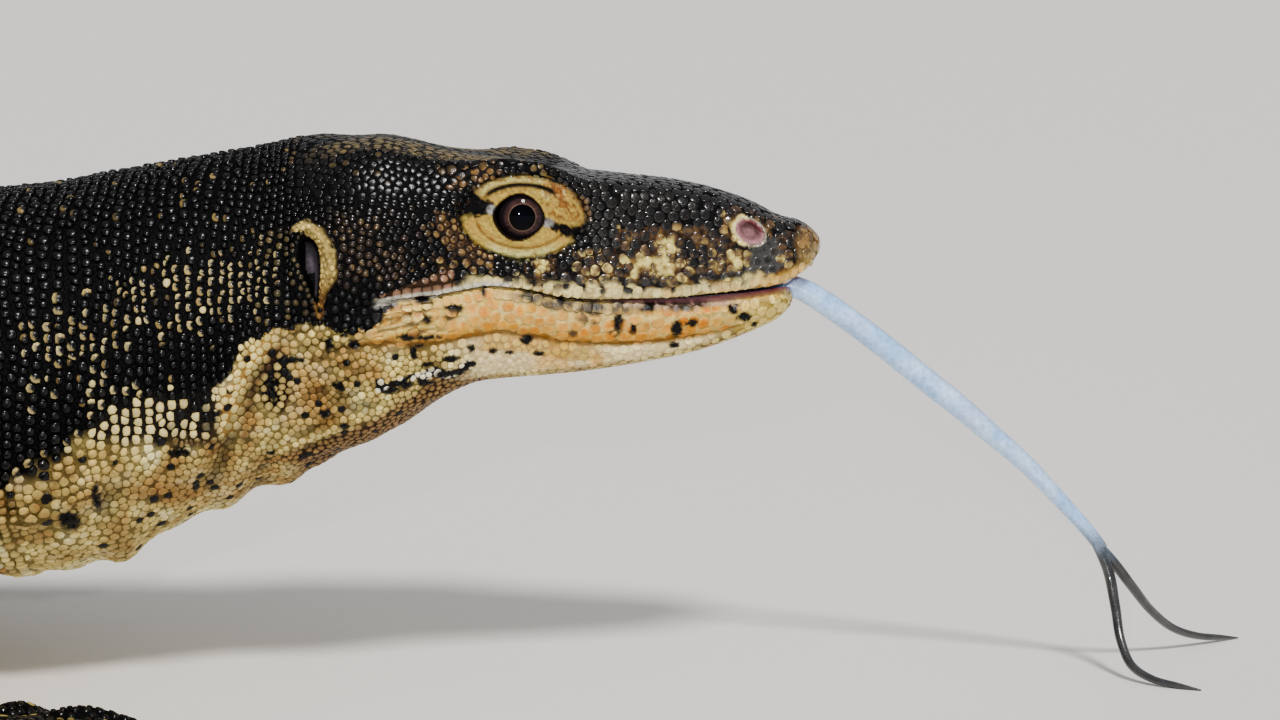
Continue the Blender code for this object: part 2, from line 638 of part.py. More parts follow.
def dress_head(head):
    """Lids, nostrils and the cups of the ears, on both sides."""
    raised, hollows = [], []
    for side in (-1, 1):
        raised.append(lid_ring(side))
        raised.append(
            rim_tube("nostril_rim", NOSTRIL_STATION, NOSTRIL_UP, NOSTRIL_SIZE, NOSTRIL_TILT, side,
                     1.0, (0.0, 0.96), 0.3)
        )
        raised.append(
            rim_tube("ear_fold", EAR_STATION - 1.0, EAR_UP, (EAR_SIZE[0] + 1.0, EAR_SIZE[1] + 0.8),
                     EAR_TILT, side, 1.9, (-0.24, 0.36), 0.9)
        )
        hollows.append(
            ball("eye_socket", (-EYE_STATION, side * EYE_CENTRE_OUT, MOUTH_HEIGHT + EYE_UP),
                 (EYE_RADIUS + GAP,) * 3, segments=EYE_GRID[0], rings=EYE_GRID[1])
        )
        nostril_out = surface_out(NOSTRIL_STATION, NOSTRIL_UP)
        hollows.append(
            ball("nostril", (-NOSTRIL_STATION, side * (nostril_out + 0.4), MOUTH_HEIGHT + NOSTRIL_UP),
                 (NOSTRIL_SIZE[0] * 0.82, 2.2, NOSTRIL_SIZE[1] * 0.82),
                 Matrix.Rotation(math.radians(NOSTRIL_TILT), 4, "Y"), 12, 6)
        )
        ear_out = surface_out(EAR_STATION, EAR_UP)
        hollows.append(
            ball("ear", (-EAR_STATION, side * (ear_out + 0.3), MOUTH_HEIGHT + EAR_UP),
                 (EAR_SIZE[0], EAR_DEPTH, EAR_SIZE[1]),
                 Matrix.Rotation(math.radians(EAR_TILT), 4, "Y"), 12, 8)
        )
    boolean(head, "UNION", raised)
    hollows.append(tongue_clearance())
    boolean(head, "DIFFERENCE", hollows)


def leg_path(side, joints, count):
    """A smooth path in millimetres through a leg's joints."""
    points = []
    for station, out, up in joints:
        x, y, turn = (float(v[0]) for v in spine_points([station]))
        points.append((x - side * out * math.sin(turn), y + side * out * math.cos(turn), up))
    return path_through(points, count)


def leg_rings(side, joints, thickness, start, end, count, grow=0.0):
    """Rings of a leg between two shares of its path."""
    fine = leg_path(side, joints, 121)
    share = np.linspace(start, end, count)
    at = np.linspace(0, 1, len(fine))
    path = np.stack([np.interp(share, at, fine[:, c]) for c in range(3)], -1)
    _, side_dir, normal = frames_along(fine)
    side_dir = np.stack([np.interp(share, at, side_dir[:, c]) for c in range(3)], -1)
    normal = np.stack([np.interp(share, at, normal[:, c]) for c in range(3)], -1)
    radius = smooth(thickness, share) + grow
    angle = np.linspace(0, 2 * math.pi, LEG_SIDES, endpoint=False)
    ring = (
        path[:, None]
        + np.cos(angle)[None, :, None] * side_dir[:, None] * radius[:, None, None]
        + np.sin(angle)[None, :, None] * normal[:, None] * radius[:, None, None] * 0.94
    )
    return ring * MM


def foot_point(origin, heading, side, ahead, out, up):
    """A point of a foot in the world, from its place ahead of and outwards from the wrist."""
    cos, sin = math.cos(heading), math.sin(heading) * side
    outwards = out * side
    return (origin[0] + ahead * cos - outwards * sin, origin[1] + ahead * sin + outwards * cos, up)


def toe_path(origin, heading, side, toe):
    """The path of one toe, which arches up over its knuckle and comes down on its pad."""
    turn, ahead, out, length, half = toe
    lean = math.radians(turn)
    steps = ((-0.30, 8.0, 1.15), (0.0, 9.6, 1.06), (0.28, 10.8, 1.08), (0.54, 8.4, 0.98),
             (0.80, 4.2, 0.98), (1.0, 3.5, 0.82))
    points = []
    for share, up, size in steps:
        reach = share * length
        place = foot_point(origin, heading, side, ahead + reach * math.cos(lean),
                           out + reach * math.sin(lean), up)
        points.append((*place, half * size))
    return path_through(points, 9)


def foot_solid(name, kind, side, leg_end, heading, finish):
    """Palm or sole with its five toes, cut off flat where it stands."""
    wrist = leg_end[-1]
    length, half, thick = PALM[kind]
    toes = FRONT_TOES if kind == "front" else HIND_TOES
    sole = [(*leg_end[0], half * 0.55, half * 0.55)]
    sole += [
        (*foot_point(wrist, heading, side, length * share, 0, thick * up), half * wide, thick * deep)
        for share, up, wide, deep in (
            (-0.06, 1.40, 0.62, 1.04), (0.20, 1.02, 0.74, 1.03), (0.48, 0.90, 0.92, 0.98),
            (0.78, 0.88, 0.98, 0.94), (1.0, 0.84, 0.80, 0.74))
    ]
    sole = path_through(sole, 8)
    palm = loft(name, tube_rings(sole[:, :3], sole[:, 4], sole[:, 3], PALM_SIDES), finish)
    pieces = []
    for toe in toes:
        path = toe_path(wrist, heading, side, toe)
        pieces.append(loft("toe", tube_rings(path[:, :3], path[:, 3], path[:, 3] * 0.92, TOE_SIDES)))
    boolean(palm, "UNION", pieces)
    flatten_under(palm)
    return palm


def claw_solid(name, kind, side, wrist, heading, toe, finish):
    """A claw: a curved horn that starts a gap past the end of its toe."""
    path = toe_path(wrist, heading, side, toe)[:, :3]
    way = path[-1] - path[-2]
    way /= np.linalg.norm(way)
    flat = np.array([way[0], way[1], 0.0])
    flat /= np.linalg.norm(flat)
    length, half = CLAW[kind]
    start = path[-1] + way * GAP
    points = []
    for share in np.linspace(0, 1, 5):
        ahead = length * (share - 0.16 * share**3)
        rise = 2.1 * math.sin(math.pi * min(share * 1.25, 1.0)) - share**1.6 * (start[2] - 0.6)
        points.append(start + flat * ahead + np.array([0, 0, rise]))
    points = np.array(points)
    size = half * (1 - np.linspace(0, 1, 5) ** 1.4 * 0.86)
    points[:, 2] = np.maximum(points[:, 2], size + 0.15)
    rings = tube_rings(points, size, size * 0.72, CLAW_SIDES)
    base = rings[0] - (points[0] * MM)
    along = base @ way
    rings[0] = points[0] * MM + base - along[:, None] * way
    return loft(name, rings, finish)


def leg_solids(leg, hide, horn):
    name, side, joints, heading, kind = leg
    thickness = FRONT_LEG_THICKNESS if kind == "front" else HIND_LEG_THICKNESS
    upper_name, lower_name, foot_name = (
        ("upper_arm", "forearm", "hand") if kind == "front" else ("thigh", "shank", "foot")
    )
    path = leg_path(side, joints, 121)
    length = float(np.linalg.norm(np.diff(path, axis=0), axis=1).sum())
    gap = GAP / length
    upper = loft(f"{upper_name}_{name}", leg_rings(side, joints, thickness, 0, ELBOW_SHARE, 11), hide)
    station = joints[0][0]
    body = trunk_length("body_clearance", station - 95, station + 95, 7, grow=GAP)
    boolean(upper, "DIFFERENCE", [body])
    loft(f"{lower_name}_{name}", leg_rings(side, joints, thickness, ELBOW_SHARE + gap, 0.95, 9), hide)
    wrist = path[-1]
    turn = math.radians(heading) + float(spine_points([joints[0][0]])[2][0]) * side
    foot = foot_solid(f"{foot_name}_{name}", kind, side, path[[102, 120]], turn, hide)
    cutter = loft("leg_clearance", leg_rings(side, joints, thickness, 0.6, 0.95 + gap, 8, grow=GAP))
    boolean(foot, "DIFFERENCE", [cutter])
    toes = FRONT_TOES if kind == "front" else HIND_TOES
    for number, toe in enumerate(toes, 1):
        claw_solid(f"claw_{name}_{number}", kind, side, wrist, turn, toe, horn)


def build():
    for obj in list(bpy.data.objects):
        bpy.data.objects.remove(obj)
    dark = material("dark_hide", DARK_HIDE)
    pale = material("pale_hide", PALE_HIDE)
    gloss = material("eye_gloss", EYE_GLOSS)
    horn = material("claw_horn", CLAW_HORN)
    wet = material("tongue_wet", TONGUE_WET)

    dress_head(head_solid(dark))
    jaw = jaw_solid(pale)
    boolean(jaw, "DIFFERENCE", [tongue_clearance()])
    tongue_solid(wet)
    for side, word in ((-1, "right"), (1, "left")):
        ball(f"eye_{word}", (-EYE_STATION, side * EYE_CENTRE_OUT, MOUTH_HEIGHT + EYE_UP),
             (EYE_RADIUS,) * 3, segments=EYE_GRID[0], rings=EYE_GRID[1], finish=gloss)
    trunk_length("neck", HEAD_END, NECK_END - GAP, 6.0, dark)
    trunk_length("chest", NECK_END, CHEST_END - GAP, 14.0, dark)
    trunk_length("belly", CHEST_END, BELLY_END - GAP, 24.0, dark)
    trunk_length("pelvis", BELLY_END, PELVIS_END - GAP, 16.0, dark)
    cuts = (PELVIS_END, *TAIL_CUTS, TAIL_END)
    for number, (start, end) in enumerate(zip(cuts, cuts[1:]), 1):
        stop = end if number == len(cuts) - 1 else end - GAP
        trunk_length(f"tail_{number}", start, stop, 18.0 + 3 * number, dark)
    for leg in LEGS:
        leg_solids(leg, dark, horn)
    centre_over_origin()


def centre_over_origin():
    """Moves the whole animal so that the middle of its plan is the origin, and z = 0 the floor.

    Each node then has its own origin at its middle, and hangs from one empty on the floor.
    """
    nodes = [obj for obj in bpy.data.objects if obj.type == "MESH"]
    boxes = {obj: np.array([tuple(corner) for corner in obj.bound_box]) for obj in nodes}
    corners = np.concatenate(list(boxes.values()))
    middle = (corners.min(0) + corners.max(0)) / 2
    animal = bpy.data.objects.new("animal", None)
    bpy.context.scene.collection.objects.link(animal)
    for obj, box in boxes.items():
        own = (box.min(0) + box.max(0)) / 2
        obj.data.transform(Matrix.Translation(-Vector(own)))
        obj.parent = animal
        obj.location = (own[0] - middle[0], own[1] - middle[1], own[2])


build()
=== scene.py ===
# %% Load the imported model
import itertools
import math

import bmesh
import bpy
import numpy as np
from mathutils import Matrix, Vector
from mathutils.bvhtree import BVHTree
from mathutils.kdtree import KDTree


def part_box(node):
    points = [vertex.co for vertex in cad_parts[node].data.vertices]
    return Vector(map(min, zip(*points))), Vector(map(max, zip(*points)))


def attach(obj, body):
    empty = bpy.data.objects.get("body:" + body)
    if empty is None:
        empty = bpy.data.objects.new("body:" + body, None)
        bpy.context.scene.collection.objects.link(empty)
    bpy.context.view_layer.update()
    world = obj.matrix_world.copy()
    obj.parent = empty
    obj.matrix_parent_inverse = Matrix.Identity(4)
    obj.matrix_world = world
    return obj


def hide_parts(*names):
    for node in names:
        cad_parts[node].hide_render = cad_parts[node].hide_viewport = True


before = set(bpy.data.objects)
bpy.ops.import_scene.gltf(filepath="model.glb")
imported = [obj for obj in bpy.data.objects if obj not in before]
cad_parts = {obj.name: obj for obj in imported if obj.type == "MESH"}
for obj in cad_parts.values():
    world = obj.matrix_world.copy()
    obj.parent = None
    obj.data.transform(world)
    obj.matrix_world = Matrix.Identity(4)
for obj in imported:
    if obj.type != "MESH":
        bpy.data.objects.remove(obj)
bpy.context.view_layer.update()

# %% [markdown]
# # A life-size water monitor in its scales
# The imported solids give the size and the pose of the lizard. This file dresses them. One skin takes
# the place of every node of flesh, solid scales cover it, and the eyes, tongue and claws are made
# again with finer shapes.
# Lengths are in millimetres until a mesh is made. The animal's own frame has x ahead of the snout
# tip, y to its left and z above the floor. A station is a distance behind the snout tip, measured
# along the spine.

MM = 0.001
FLOOR_GAP = 0.02
FACETS_SHORT_OF_TIP = 0.062
HEAD_LOW, HEAD_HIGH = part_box("head")
HEAD_MIDDLE_Y = (HEAD_LOW.y + HEAD_HIGH.y) / 2
SNOUT_TIP = np.array([HEAD_HIGH.x / MM + FACETS_SHORT_OF_TIP, HEAD_MIDDLE_Y / MM, 0.0])


def to_world(points):
    """World points in metres from points of the animal's own frame in millimetres."""
    return (np.asarray(points, float) + SNOUT_TIP) * MM


def placed(name, data):
    """A new object of the scene that shows a mesh, lamp or camera."""
    made = bpy.data.objects.new(name, data)
    bpy.context.scene.collection.objects.link(made)
    return made


print("snout tip at", [round(float(v), 1) for v in SNOUT_TIP], "mm")

# %% [markdown]
# ## Camera
# The camera is made early, so that every later step can be judged against the photograph. It stands
# off the right side of the head, a little above the eye, and looks slightly down.

# %% Camera
LENS = 84.4
SENSOR_WIDTH = 36
CAMERA_BACK, CAMERA_AWAY, CAMERA_HEIGHT = 0.040, 0.666, 0.164
CAMERA_TILT = math.radians(82)
camera = placed("camera", bpy.data.cameras.new("camera"))
camera.data.lens = LENS
camera.data.sensor_width = SENSOR_WIDTH
camera.location = (HEAD_HIGH.x - CAMERA_BACK, SNOUT_TIP[1] * MM - CAMERA_AWAY, CAMERA_HEIGHT)
camera.rotation_euler = (CAMERA_TILT, 0, 0)
bpy.context.scene.camera = camera
print("camera at", [round(v, 3) for v in camera.location])

# %% [markdown]
# ## Floor and light
# The animal stands on a wide, plain, pale floor. One broad, soft light falls evenly from above and
# in front, so that the floor stays pale to its far edge. A small lamp near the camera puts a point
# of light on each damp scale and on the eye.

# %% Materials and their noise
def new_material(name, colour=(0.5, 0.5, 0.5), roughness=0.5, **sockets):
    """A node material; extra sockets of its shader are given by name with _ for a space."""
    made = bpy.data.materials.new(name)
    made.use_nodes = True
    shader = made.node_tree.nodes["Principled BSDF"]
    shader.inputs["Base Color"].default_value = (*colour, 1)
    shader.inputs["Roughness"].default_value = roughness
    for key, value in sockets.items():
        shader.inputs[key.replace("_", " ")].default_value = value
    return made


def add_node(made, kind, **values):
    """A shader node, with values for its sockets given by name with _ for a space."""
    node = made.node_tree.nodes.new("ShaderNode" + kind)
    for key, value in values.items():
        node.inputs[key.replace("_", " ")].default_value = value
    return node


def add_bump(made, size, strength, distance, detail=4.0):
    """Fine relief from a noise of a size in metres."""
    place = add_node(made, "TexCoord")
    noise = add_node(made, "TexNoise", Scale=1 / size, Detail=detail)
    bump = add_node(made, "Bump", Strength=strength, Distance=distance)
    links = made.node_tree.links
    links.new(place.outputs["Object"], noise.inputs["Vector"])
    links.new(noise.outputs["Fac"], bump.inputs["Height"])
    links.new(bump.outputs["Normal"], made.node_tree.nodes["Principled BSDF"].inputs["Normal"])
    return noise, bump


def add_roughness(made, noise, low, high):
    """Lets the roughness follow a noise between two values."""
    spread = add_node(made, "MapRange", From_Min=0.3, From_Max=0.7, To_Min=low, To_Max=high)
    links = made.node_tree.links
    links.new(noise.outputs["Fac"], spread.inputs["Value"])
    links.new(spread.outputs["Result"], made.node_tree.nodes["Principled BSDF"].inputs["Roughness"])


floor_paint = new_material("floor_paint", (0.82, 0.805, 0.775), 0.6)
floor_noise, _ = add_bump(floor_paint, 0.004, 0.08, 0.0004)
add_roughness(floor_paint, floor_noise, 0.5, 0.7)
print("nodes in the paint of the floor:", len(floor_paint.node_tree.nodes))

# %% Floor
FLOOR_HALF = 30
floor_corners = [(x * FLOOR_HALF, y * FLOOR_HALF, 0) for x, y in ((-1, -1), (1, -1), (1, 1), (-1, 1))]
floor_mesh = bpy.data.meshes.new("floor")
floor_mesh.from_pydata(floor_corners, [], [(0, 1, 2, 3)])
floor_mesh.materials.append(floor_paint)
floor = placed("floor", floor_mesh)
print("floor", 2 * FLOOR_HALF, "m wide")

# %% Lamps
world = bpy.data.worlds.new("studio")
bpy.context.scene.world = world
world.use_nodes = True
background = world.node_tree.nodes["Background"]
background.inputs["Color"].default_value = (0.97, 0.98, 1.0, 1)
background.inputs["Strength"].default_value = 0.42
bpy.context.scene.view_settings.look = "AgX - Medium High Contrast"
sky = placed("sky_panel", bpy.data.lights.new("sky_panel", "SUN"))
sky.data.energy = 2.5
sky.data.angle = math.radians(12)
sky.data.color = (1, 0.975, 0.94)
sky.rotation_euler = Vector((-0.30, 0.80, -1.25)).to_track_quat("-Z", "Y").to_euler()
face = Vector((HEAD_HIGH.x - 0.06, SNOUT_TIP[1] * MM, 0.09))
flash = placed("glint", bpy.data.lights.new("glint", "SPOT"))
flash.data.energy = 8.0
flash.data.spot_size = math.radians(34)
flash.data.spot_blend = 1.0
flash.data.shadow_soft_size = 0.012
flash.location = camera.location + Vector((-0.035, 0, 0.05))
flash.rotation_euler = (face - flash.location).to_track_quat("-Z", "Y").to_euler()

# %% [markdown]
# ## The shape of the trunk
# Snout, neck, body and tail are one surface. It is a run of upright sections, and each section is a
# smooth closed curve through seven points of its right half and their mirror images. These tables
# are the same ones that shaped the solids, so the skin fits them.

# %% Tables of the trunk
MOUTH_HEIGHT = 88.0
HEAD_LENGTH = 112.0
TAIL_END = 1660.0
MOUTH_CORNER = 96.0
CHIN_STATION = 6.2
NECK_BLEND = (99.0, 121.0)
SNOUT_ROUND = 6.0
SNOUT_CENTRE_UP = 8.6
CHIN_ROUND = 5.0
CHIN_CENTRE_UP = -3.6
SPINE_TURN = ((0, 0), (150, 0), (260, 3), (430, -6), (600, 5), (760, 20), (980, 52), (1180, 58),
              (1400, 22), (1660, -18))
CROWN_UP = ((0, 13.2), (4.7, 14.2), (8.9, 15.2), (15, 18.3), (22, 20.8), (28, 22.3), (36, 23.6),
            (45, 24.4), (52, 25.0), (60, 26.4), (68, 27.8), (82, 29.8), (90, 31.6), (97, 32.8),
            (103, 32.6), (112, 33.0))
BROW_OUT = ((0, 4.6), (9, 6.6), (16, 7.6), (28, 9.6), (45, 13.0), (52, 15.0), (57, 17.2),
            (63, 18.4), (70, 18.8), (78, 18.0), (86, 17.6), (95, 18.2), (112, 19.0))
BROW_UP = ((0, 12.0), (9, 14.2), (16, 16.9), (28, 20.4), (45, 22.7), (52, 23.6), (57, 25.9),
           (63, 27.7), (70, 28.3), (78, 27.5), (86, 27.9), (92, 29.2), (98, 30.0), (112, 28.6))
SIDE_OUT = ((0, 6.9), (9, 10.0), (16, 11.4), (28, 13.4), (45, 16.4), (55, 17.6), (66, 20.0),
            (78, 22.8), (86, 25.0), (95, 27.0), (104, 27.6), (112, 27.2))
SIDE_UP = ((0, 8.8), (9, 9.6), (16, 11.0), (28, 12.2), (45, 13.0), (55, 14.6), (66, 16.4),
           (78, 15.4), (95, 14.0), (112, 13.0))
LIP_OUT = ((0, 7.4), (9, 11.6), (16, 13.5), (28, 15.8), (45, 19.0), (56, 21.2), (65, 22.8),
           (74, 24.2), (84, 26.0), (95, 28.2), (104, 28.8), (112, 28.6))
LIP_UP = ((0, 4.8), (4, 3.0), (8.9, 0.7), (16, -0.1), (24, -0.8), (36, -1.6), (45, -1.6),
          (56, -0.9), (65, 1.1), (73, 1.9), (78, 1.1), (84, 0.0), (91, -0.6), (95, -1.3),
          (104, -3.0), (112, -4.5))
JAW_OUT = ((6, 7.8), (12, 10.9), (20, 13.2), (28, 15.0), (45, 18.0), (60, 20.9), (75, 23.6),
           (86, 26.0), (95, 28.2), (104, 28.8), (112, 28.2))
JAW_UP = ((6, -4.2), (12, -5.0), (20, -6.6), (28, -7.8), (45, -9.4), (60, -9.6), (75, -9.8),
          (86, -11.0), (95, -13.0), (112, -19.0))
KEEL_OUT = ((6, 5.4), (12, 7.8), (20, 9.6), (28, 11.0), (45, 13.2), (60, 14.8), (75, 16.6),
            (86, 19.0), (95, 21.0), (112, 22.0))
KEEL_UP = ((6, -6.2), (12, -8.4), (20, -11.6), (28, -13.9), (45, -16.8), (60, -18.4), (75, -19.6),
           (86, -23.4), (95, -27.5), (112, -34.5))
THROAT_UP = ((6, -6.6), (11, -8.9), (15, -10.6), (22, -12.9), (28, -14.9), (36, -16.7),
             (45, -18.2), (54, -19.3), (71, -20.4), (77, -21.5), (87, -27.2), (99, -34.8),
             (107, -37.8), (112, -40.3))
BACK_UP = ((99, 33.0), (108, 33.7), (115, 32.5), (122, 31.0), (129, 29.6), (138, 28.1),
           (147, 26.5), (160, 24.2), (169, 22.4), (190, 20.5), (220, 19.5), (250, 21.0),
           (300, 25.0), (360, 28.0), (430, 29.0), (500, 27.5), (560, 23.5), (610, 18.0),
           (660, 8.0), (720, -7.0), (800, -28.0), (880, -43.0), (1000, -52.0), (1200, -61.5),
           (1400, -72.0), (1600, -83.0), (1660, -86.2))
BELLY_UP = ((99, -35.0), (107, -38.4), (112, -41.2), (118, -44.0), (129, -47.5), (138, -52.0),
            (147, -56.5), (160, -62.5), (169, -65.0), (200, -66.0), (250, -66.5), (360, -67.5),
            (430, -68.0), (500, -67.5), (560, -64.0), (610, -59.0), (640, -56.5), (660, -56.5),
            (720, -63.5), (800, -77.0), (870, -87.0), (900, -89.0), (1200, -88.8),
            (1660, -88.3))
TRUNK_OUT = ((99, 28.4), (112, 28.6), (120, 28.9), (130, 30.2), (145, 33.5), (160, 36.5),
             (175, 39.0), (200, 42.5), (230, 46.0), (260, 49.0), (300, 52.0), (360, 56.0),
             (430, 58.0), (500, 56.0), (560, 50.0), (600, 44.0), (630, 38.5), (660, 33.0),
             (700, 28.0), (760, 23.5), (850, 19.0), (1000, 14.5), (1200, 9.6), (1400, 5.8),
             (1600, 2.5), (1660, 1.3))
WIDEST_LEVEL = ((99, 0.50), (200, 0.48), (430, 0.42), (600, 0.45), (760, 0.45), (900, 0.36),
                (1660, 0.40))
CREST_SHARE = ((99, 0.0), (640, 0.0), (760, 0.55), (900, 1.0), (1660, 1.0))
SECTION_ANGLES = (0.0, 33.0, 62.0, 92.0, 122.0, 150.0, 180.0)
LIP_KNOT = 3
BOTTOM_KNOT = 6
print(len(CROWN_UP) + len(BACK_UP), "heights along the crown and back")


# %% Curves through the tables
def curve_between(first, leaving, last, arriving, t):
    """Shares t of the way along a cubic from first to last, with its slopes at both ends."""
    return (
        first * (1 + 2 * t) * (1 - t) ** 2
        + leaving * t * (1 - t) ** 2
        + last * t * t * (3 - 2 * t)
        + arriving * t * t * (t - 1)
    )


def smooth(table, x):
    """Values of a (station, value) table at x, on a curve with no overshoot."""
    at, value = (np.array(column, float) for column in zip(*table))
    step, rise = np.diff(at), np.diff(value)
    slope = rise / step
    total = np.where(slope[:-1] + slope[1:] == 0, 1, slope[:-1] + slope[1:])
    inner = np.where(slope[:-1] * slope[1:] > 0, 2 * slope[:-1] * slope[1:] / total, 0.0)
    tangent = np.concatenate([[slope[0]], inner, [slope[-1]]])
    x = np.clip(np.asarray(x, float), at[0], at[-1])
    i = np.clip(np.searchsorted(at, x, side="right") - 1, 0, len(step) - 1)
    t = (x - at[i]) / step[i]
    return curve_between(value[i], step[i] * tangent[i], value[i + 1], step[i] * tangent[i + 1], t)


def ease(low, high, x):
    """0 below low, 1 above high, and a smooth step between."""
    t = np.clip((np.asarray(x, float) - low) / (high - low), 0, 1)
    return t * t * (3 - 2 * t)


def near(value, width):
    """1 where value is 0, fading to 0 over the width on either side."""
    return np.exp(-((np.asarray(value) / width) ** 2))


def line(points, x):
    """Straight lines through a few (x, value) points."""
    at, value = zip(*points)
    return np.interp(x, at, value)


FINE_STATION = np.arange(0.0, TAIL_END + 1.0)
FINE_TURN = np.radians(smooth(SPINE_TURN, FINE_STATION))
MID_TURN = (FINE_TURN[1:] + FINE_TURN[:-1]) / 2
SPINE_X = -np.concatenate([[0], np.cumsum(np.cos(MID_TURN))])
SPINE_Y = -np.concatenate([[0], np.cumsum(np.sin(MID_TURN))])


def spine_at(stations):
    """x, y and the turn of the spine at each station."""
    ahead = np.minimum(stations, 0)
    return (
        np.interp(stations, FINE_STATION, SPINE_X) - ahead,
        np.interp(stations, FINE_STATION, SPINE_Y),
        np.interp(stations, FINE_STATION, FINE_TURN),
    )


def roundness(stations, start, length):
    """The share of its full size that a round end has at each station behind its tip."""
    away = 1 - np.clip((np.asarray(stations, float) - start) / length, 0, 1)
    return np.sqrt(1 - away * away)


def shrink_to(sections, centre_up, share):
    """Sections drawn in to a point at the middle, at a height, by a share for each."""
    centre = np.array([0.0, centre_up])
    return centre + (sections - centre) * share[:, None, None]


print("spine ends at", round(float(SPINE_X[-1])), round(float(SPINE_Y[-1])), "mm")


# %% Section curves
def head_controls(s):
    """Seven points (outwards, up) of the right half of each head section, top to bottom."""
    pairs = ((None, CROWN_UP), (BROW_OUT, BROW_UP), (SIDE_OUT, SIDE_UP), (LIP_OUT, LIP_UP),
             (JAW_OUT, JAW_UP), (KEEL_OUT, KEEL_UP), (None, THROAT_UP))
    zero = np.zeros_like(s)
    points = [(smooth(out, s) if out else zero, smooth(up, s)) for out, up in pairs]
    points = np.array(points).transpose(2, 0, 1)
    return shrink_to(points, SNOUT_CENTRE_UP, roundness(s, 0.0, SNOUT_ROUND))


def trunk_controls(s):
    """The same seven points behind the head."""
    top, bottom, out = smooth(BACK_UP, s), smooth(BELLY_UP, s), smooth(TRUNK_OUT, s)
    level = bottom + (top - bottom) * smooth(WIDEST_LEVEL, s)
    crest = smooth(CREST_SHARE, s)
    points = []
    for knot, degrees in enumerate(SECTION_ANGLES):
        angle = math.radians(degrees)
        reach = np.where(math.cos(angle) > 0, top - level, level - bottom)
        narrow = 1 - crest * (0.34 if knot == 1 else 0.10 if knot == 2 else 0.0)
        points.append((out * math.sin(angle) * narrow, level + reach * math.cos(angle)))
    return np.array(points).transpose(2, 0, 1)


def section_curve(stations, knots):
    """Points (outwards, up) at knots 0 (top) to 6 (bottom) of the half section at each station."""
    s = np.asarray(stations, float)
    blend = ease(*NECK_BLEND, s)[:, None, None]
    controls = head_controls(np.minimum(s, HEAD_LENGTH)) * (1 - blend) + trunk_controls(s) * blend
    loop = np.concatenate([controls, controls[:, -2:0:-1] * np.array([-1.0, 1.0])], axis=1)
    n = loop.shape[1]
    system = 4 * np.eye(n) + np.roll(np.eye(n), 1, 0) + np.roll(np.eye(n), -1, 0)
    right = 3 * (np.roll(loop, -1, 1) - np.roll(loop, 1, 1))
    tangent = np.einsum("ij,sjc->sic", np.linalg.inv(system), right)
    i = np.floor(knots).astype(int) % n
    j = (i + 1) % n
    t = (knots - np.floor(knots))[None, :, None]
    return curve_between(loop[:, i], tangent[:, i], loop[:, j], tangent[:, j], t)


def outward(points):
    """Unit normals, in the section's plane, of half sections that run from top to bottom."""
    along = np.gradient(points, axis=1)
    normal = np.stack([-along[..., 1], along[..., 0]], -1)
    return normal / np.maximum(np.linalg.norm(normal, axis=-1, keepdims=True), 1e-9)


def place_sections(stations, sections):
    """Points of the animal's frame from whole sections (right side positive, up)."""
    x, y, turn = (v[:, None] for v in spine_at(np.asarray(stations, float)))
    side = -sections[..., 0]
    up = np.maximum(sections[..., 1] + MOUTH_HEIGHT, 0.0)
    return np.stack([x - side * np.sin(turn), y + side * np.cos(turn), up], -1)


probe = section_curve(np.array([66.0]), np.array([0.0, 2.0, 3.0, 6.0]))[0]
print("section through the eye:", np.round(probe, 1).tolist())

# %% [markdown]
# ## Relief of the head
# The lids, nostrils, ear openings, lips and folds are shallow forms, so they are heights added to
# the smooth surface. A fine grid carries them. Lids made as separate rings would leave seams, and a
# sculpt could not be repeated from numbers.

# %% Eye, nostril and ear in their own coordinates
EYE_STATION = 66.2
EYE_UP = 16.4
EYE_RADIUS = 7.0
EYE_CENTRE_OUT = 14.8
EYE_OPENING = (5.3, 4.85)
LID_REACH = (13.2, 8.7)
LID_CENTRE = (65.3, 16.4)
NOSTRIL_STATION = 16.0
NOSTRIL_UP = 12.3
NOSTRIL_SIZE = (3.2, 2.25)
NOSTRIL_TILT = 34.0
EAR_STATION = 110.4
EAR_UP = 5.6
EAR_SIZE = (2.1, 7.1)
EAR_TILT = 10.0
COAT_DEPTH = 0.3


def turned(ahead, above, degrees):
    """Offsets measured along axes turned so that the front end of the first one drops."""
    cos, sin = math.cos(math.radians(degrees)), math.sin(math.radians(degrees))
    return ahead * cos - above * sin, ahead * sin + above * cos


def eye_share(s, up):
    """1 on the edge of the opening between the lids, less inside, and the offset ahead."""
    ahead, above = turned(EYE_STATION - s, up - EYE_UP, 8.0)
    pinch = 1 - 0.22 * np.clip(ahead / EYE_OPENING[0], -1, 1) ** 2
    return np.hypot(ahead / EYE_OPENING[0], above / (EYE_OPENING[1] * pinch)), ahead, above


def lid_share(s, up):
    """1 on the crease round both lids."""
    ahead, above = turned(LID_CENTRE[0] - s, up - LID_CENTRE[1], 3.0)
    return np.hypot(ahead / LID_REACH[0], above / LID_REACH[1])


def nostril_share(s, up):
    """1 on the edge of the nostril, and the offset above its long axis."""
    ahead, above = turned(NOSTRIL_STATION - s, up - NOSTRIL_UP, NOSTRIL_TILT)
    return np.hypot(ahead / NOSTRIL_SIZE[0], above / NOSTRIL_SIZE[1]), above


def ear_share(s, up):
    """1 on the edge of the ear opening, and the offset ahead of its long axis."""
    ahead, above = turned(EAR_STATION - s, up - EAR_UP, -EAR_TILT)
    half = EAR_SIZE[0] * np.clip(0.95 + 0.09 * above, 0.45, 1.35)
    return np.hypot(ahead / half, above / EAR_SIZE[1]), ahead, above


print("share at the eye's centre:", float(eye_share(EYE_STATION, EYE_UP)[0]))

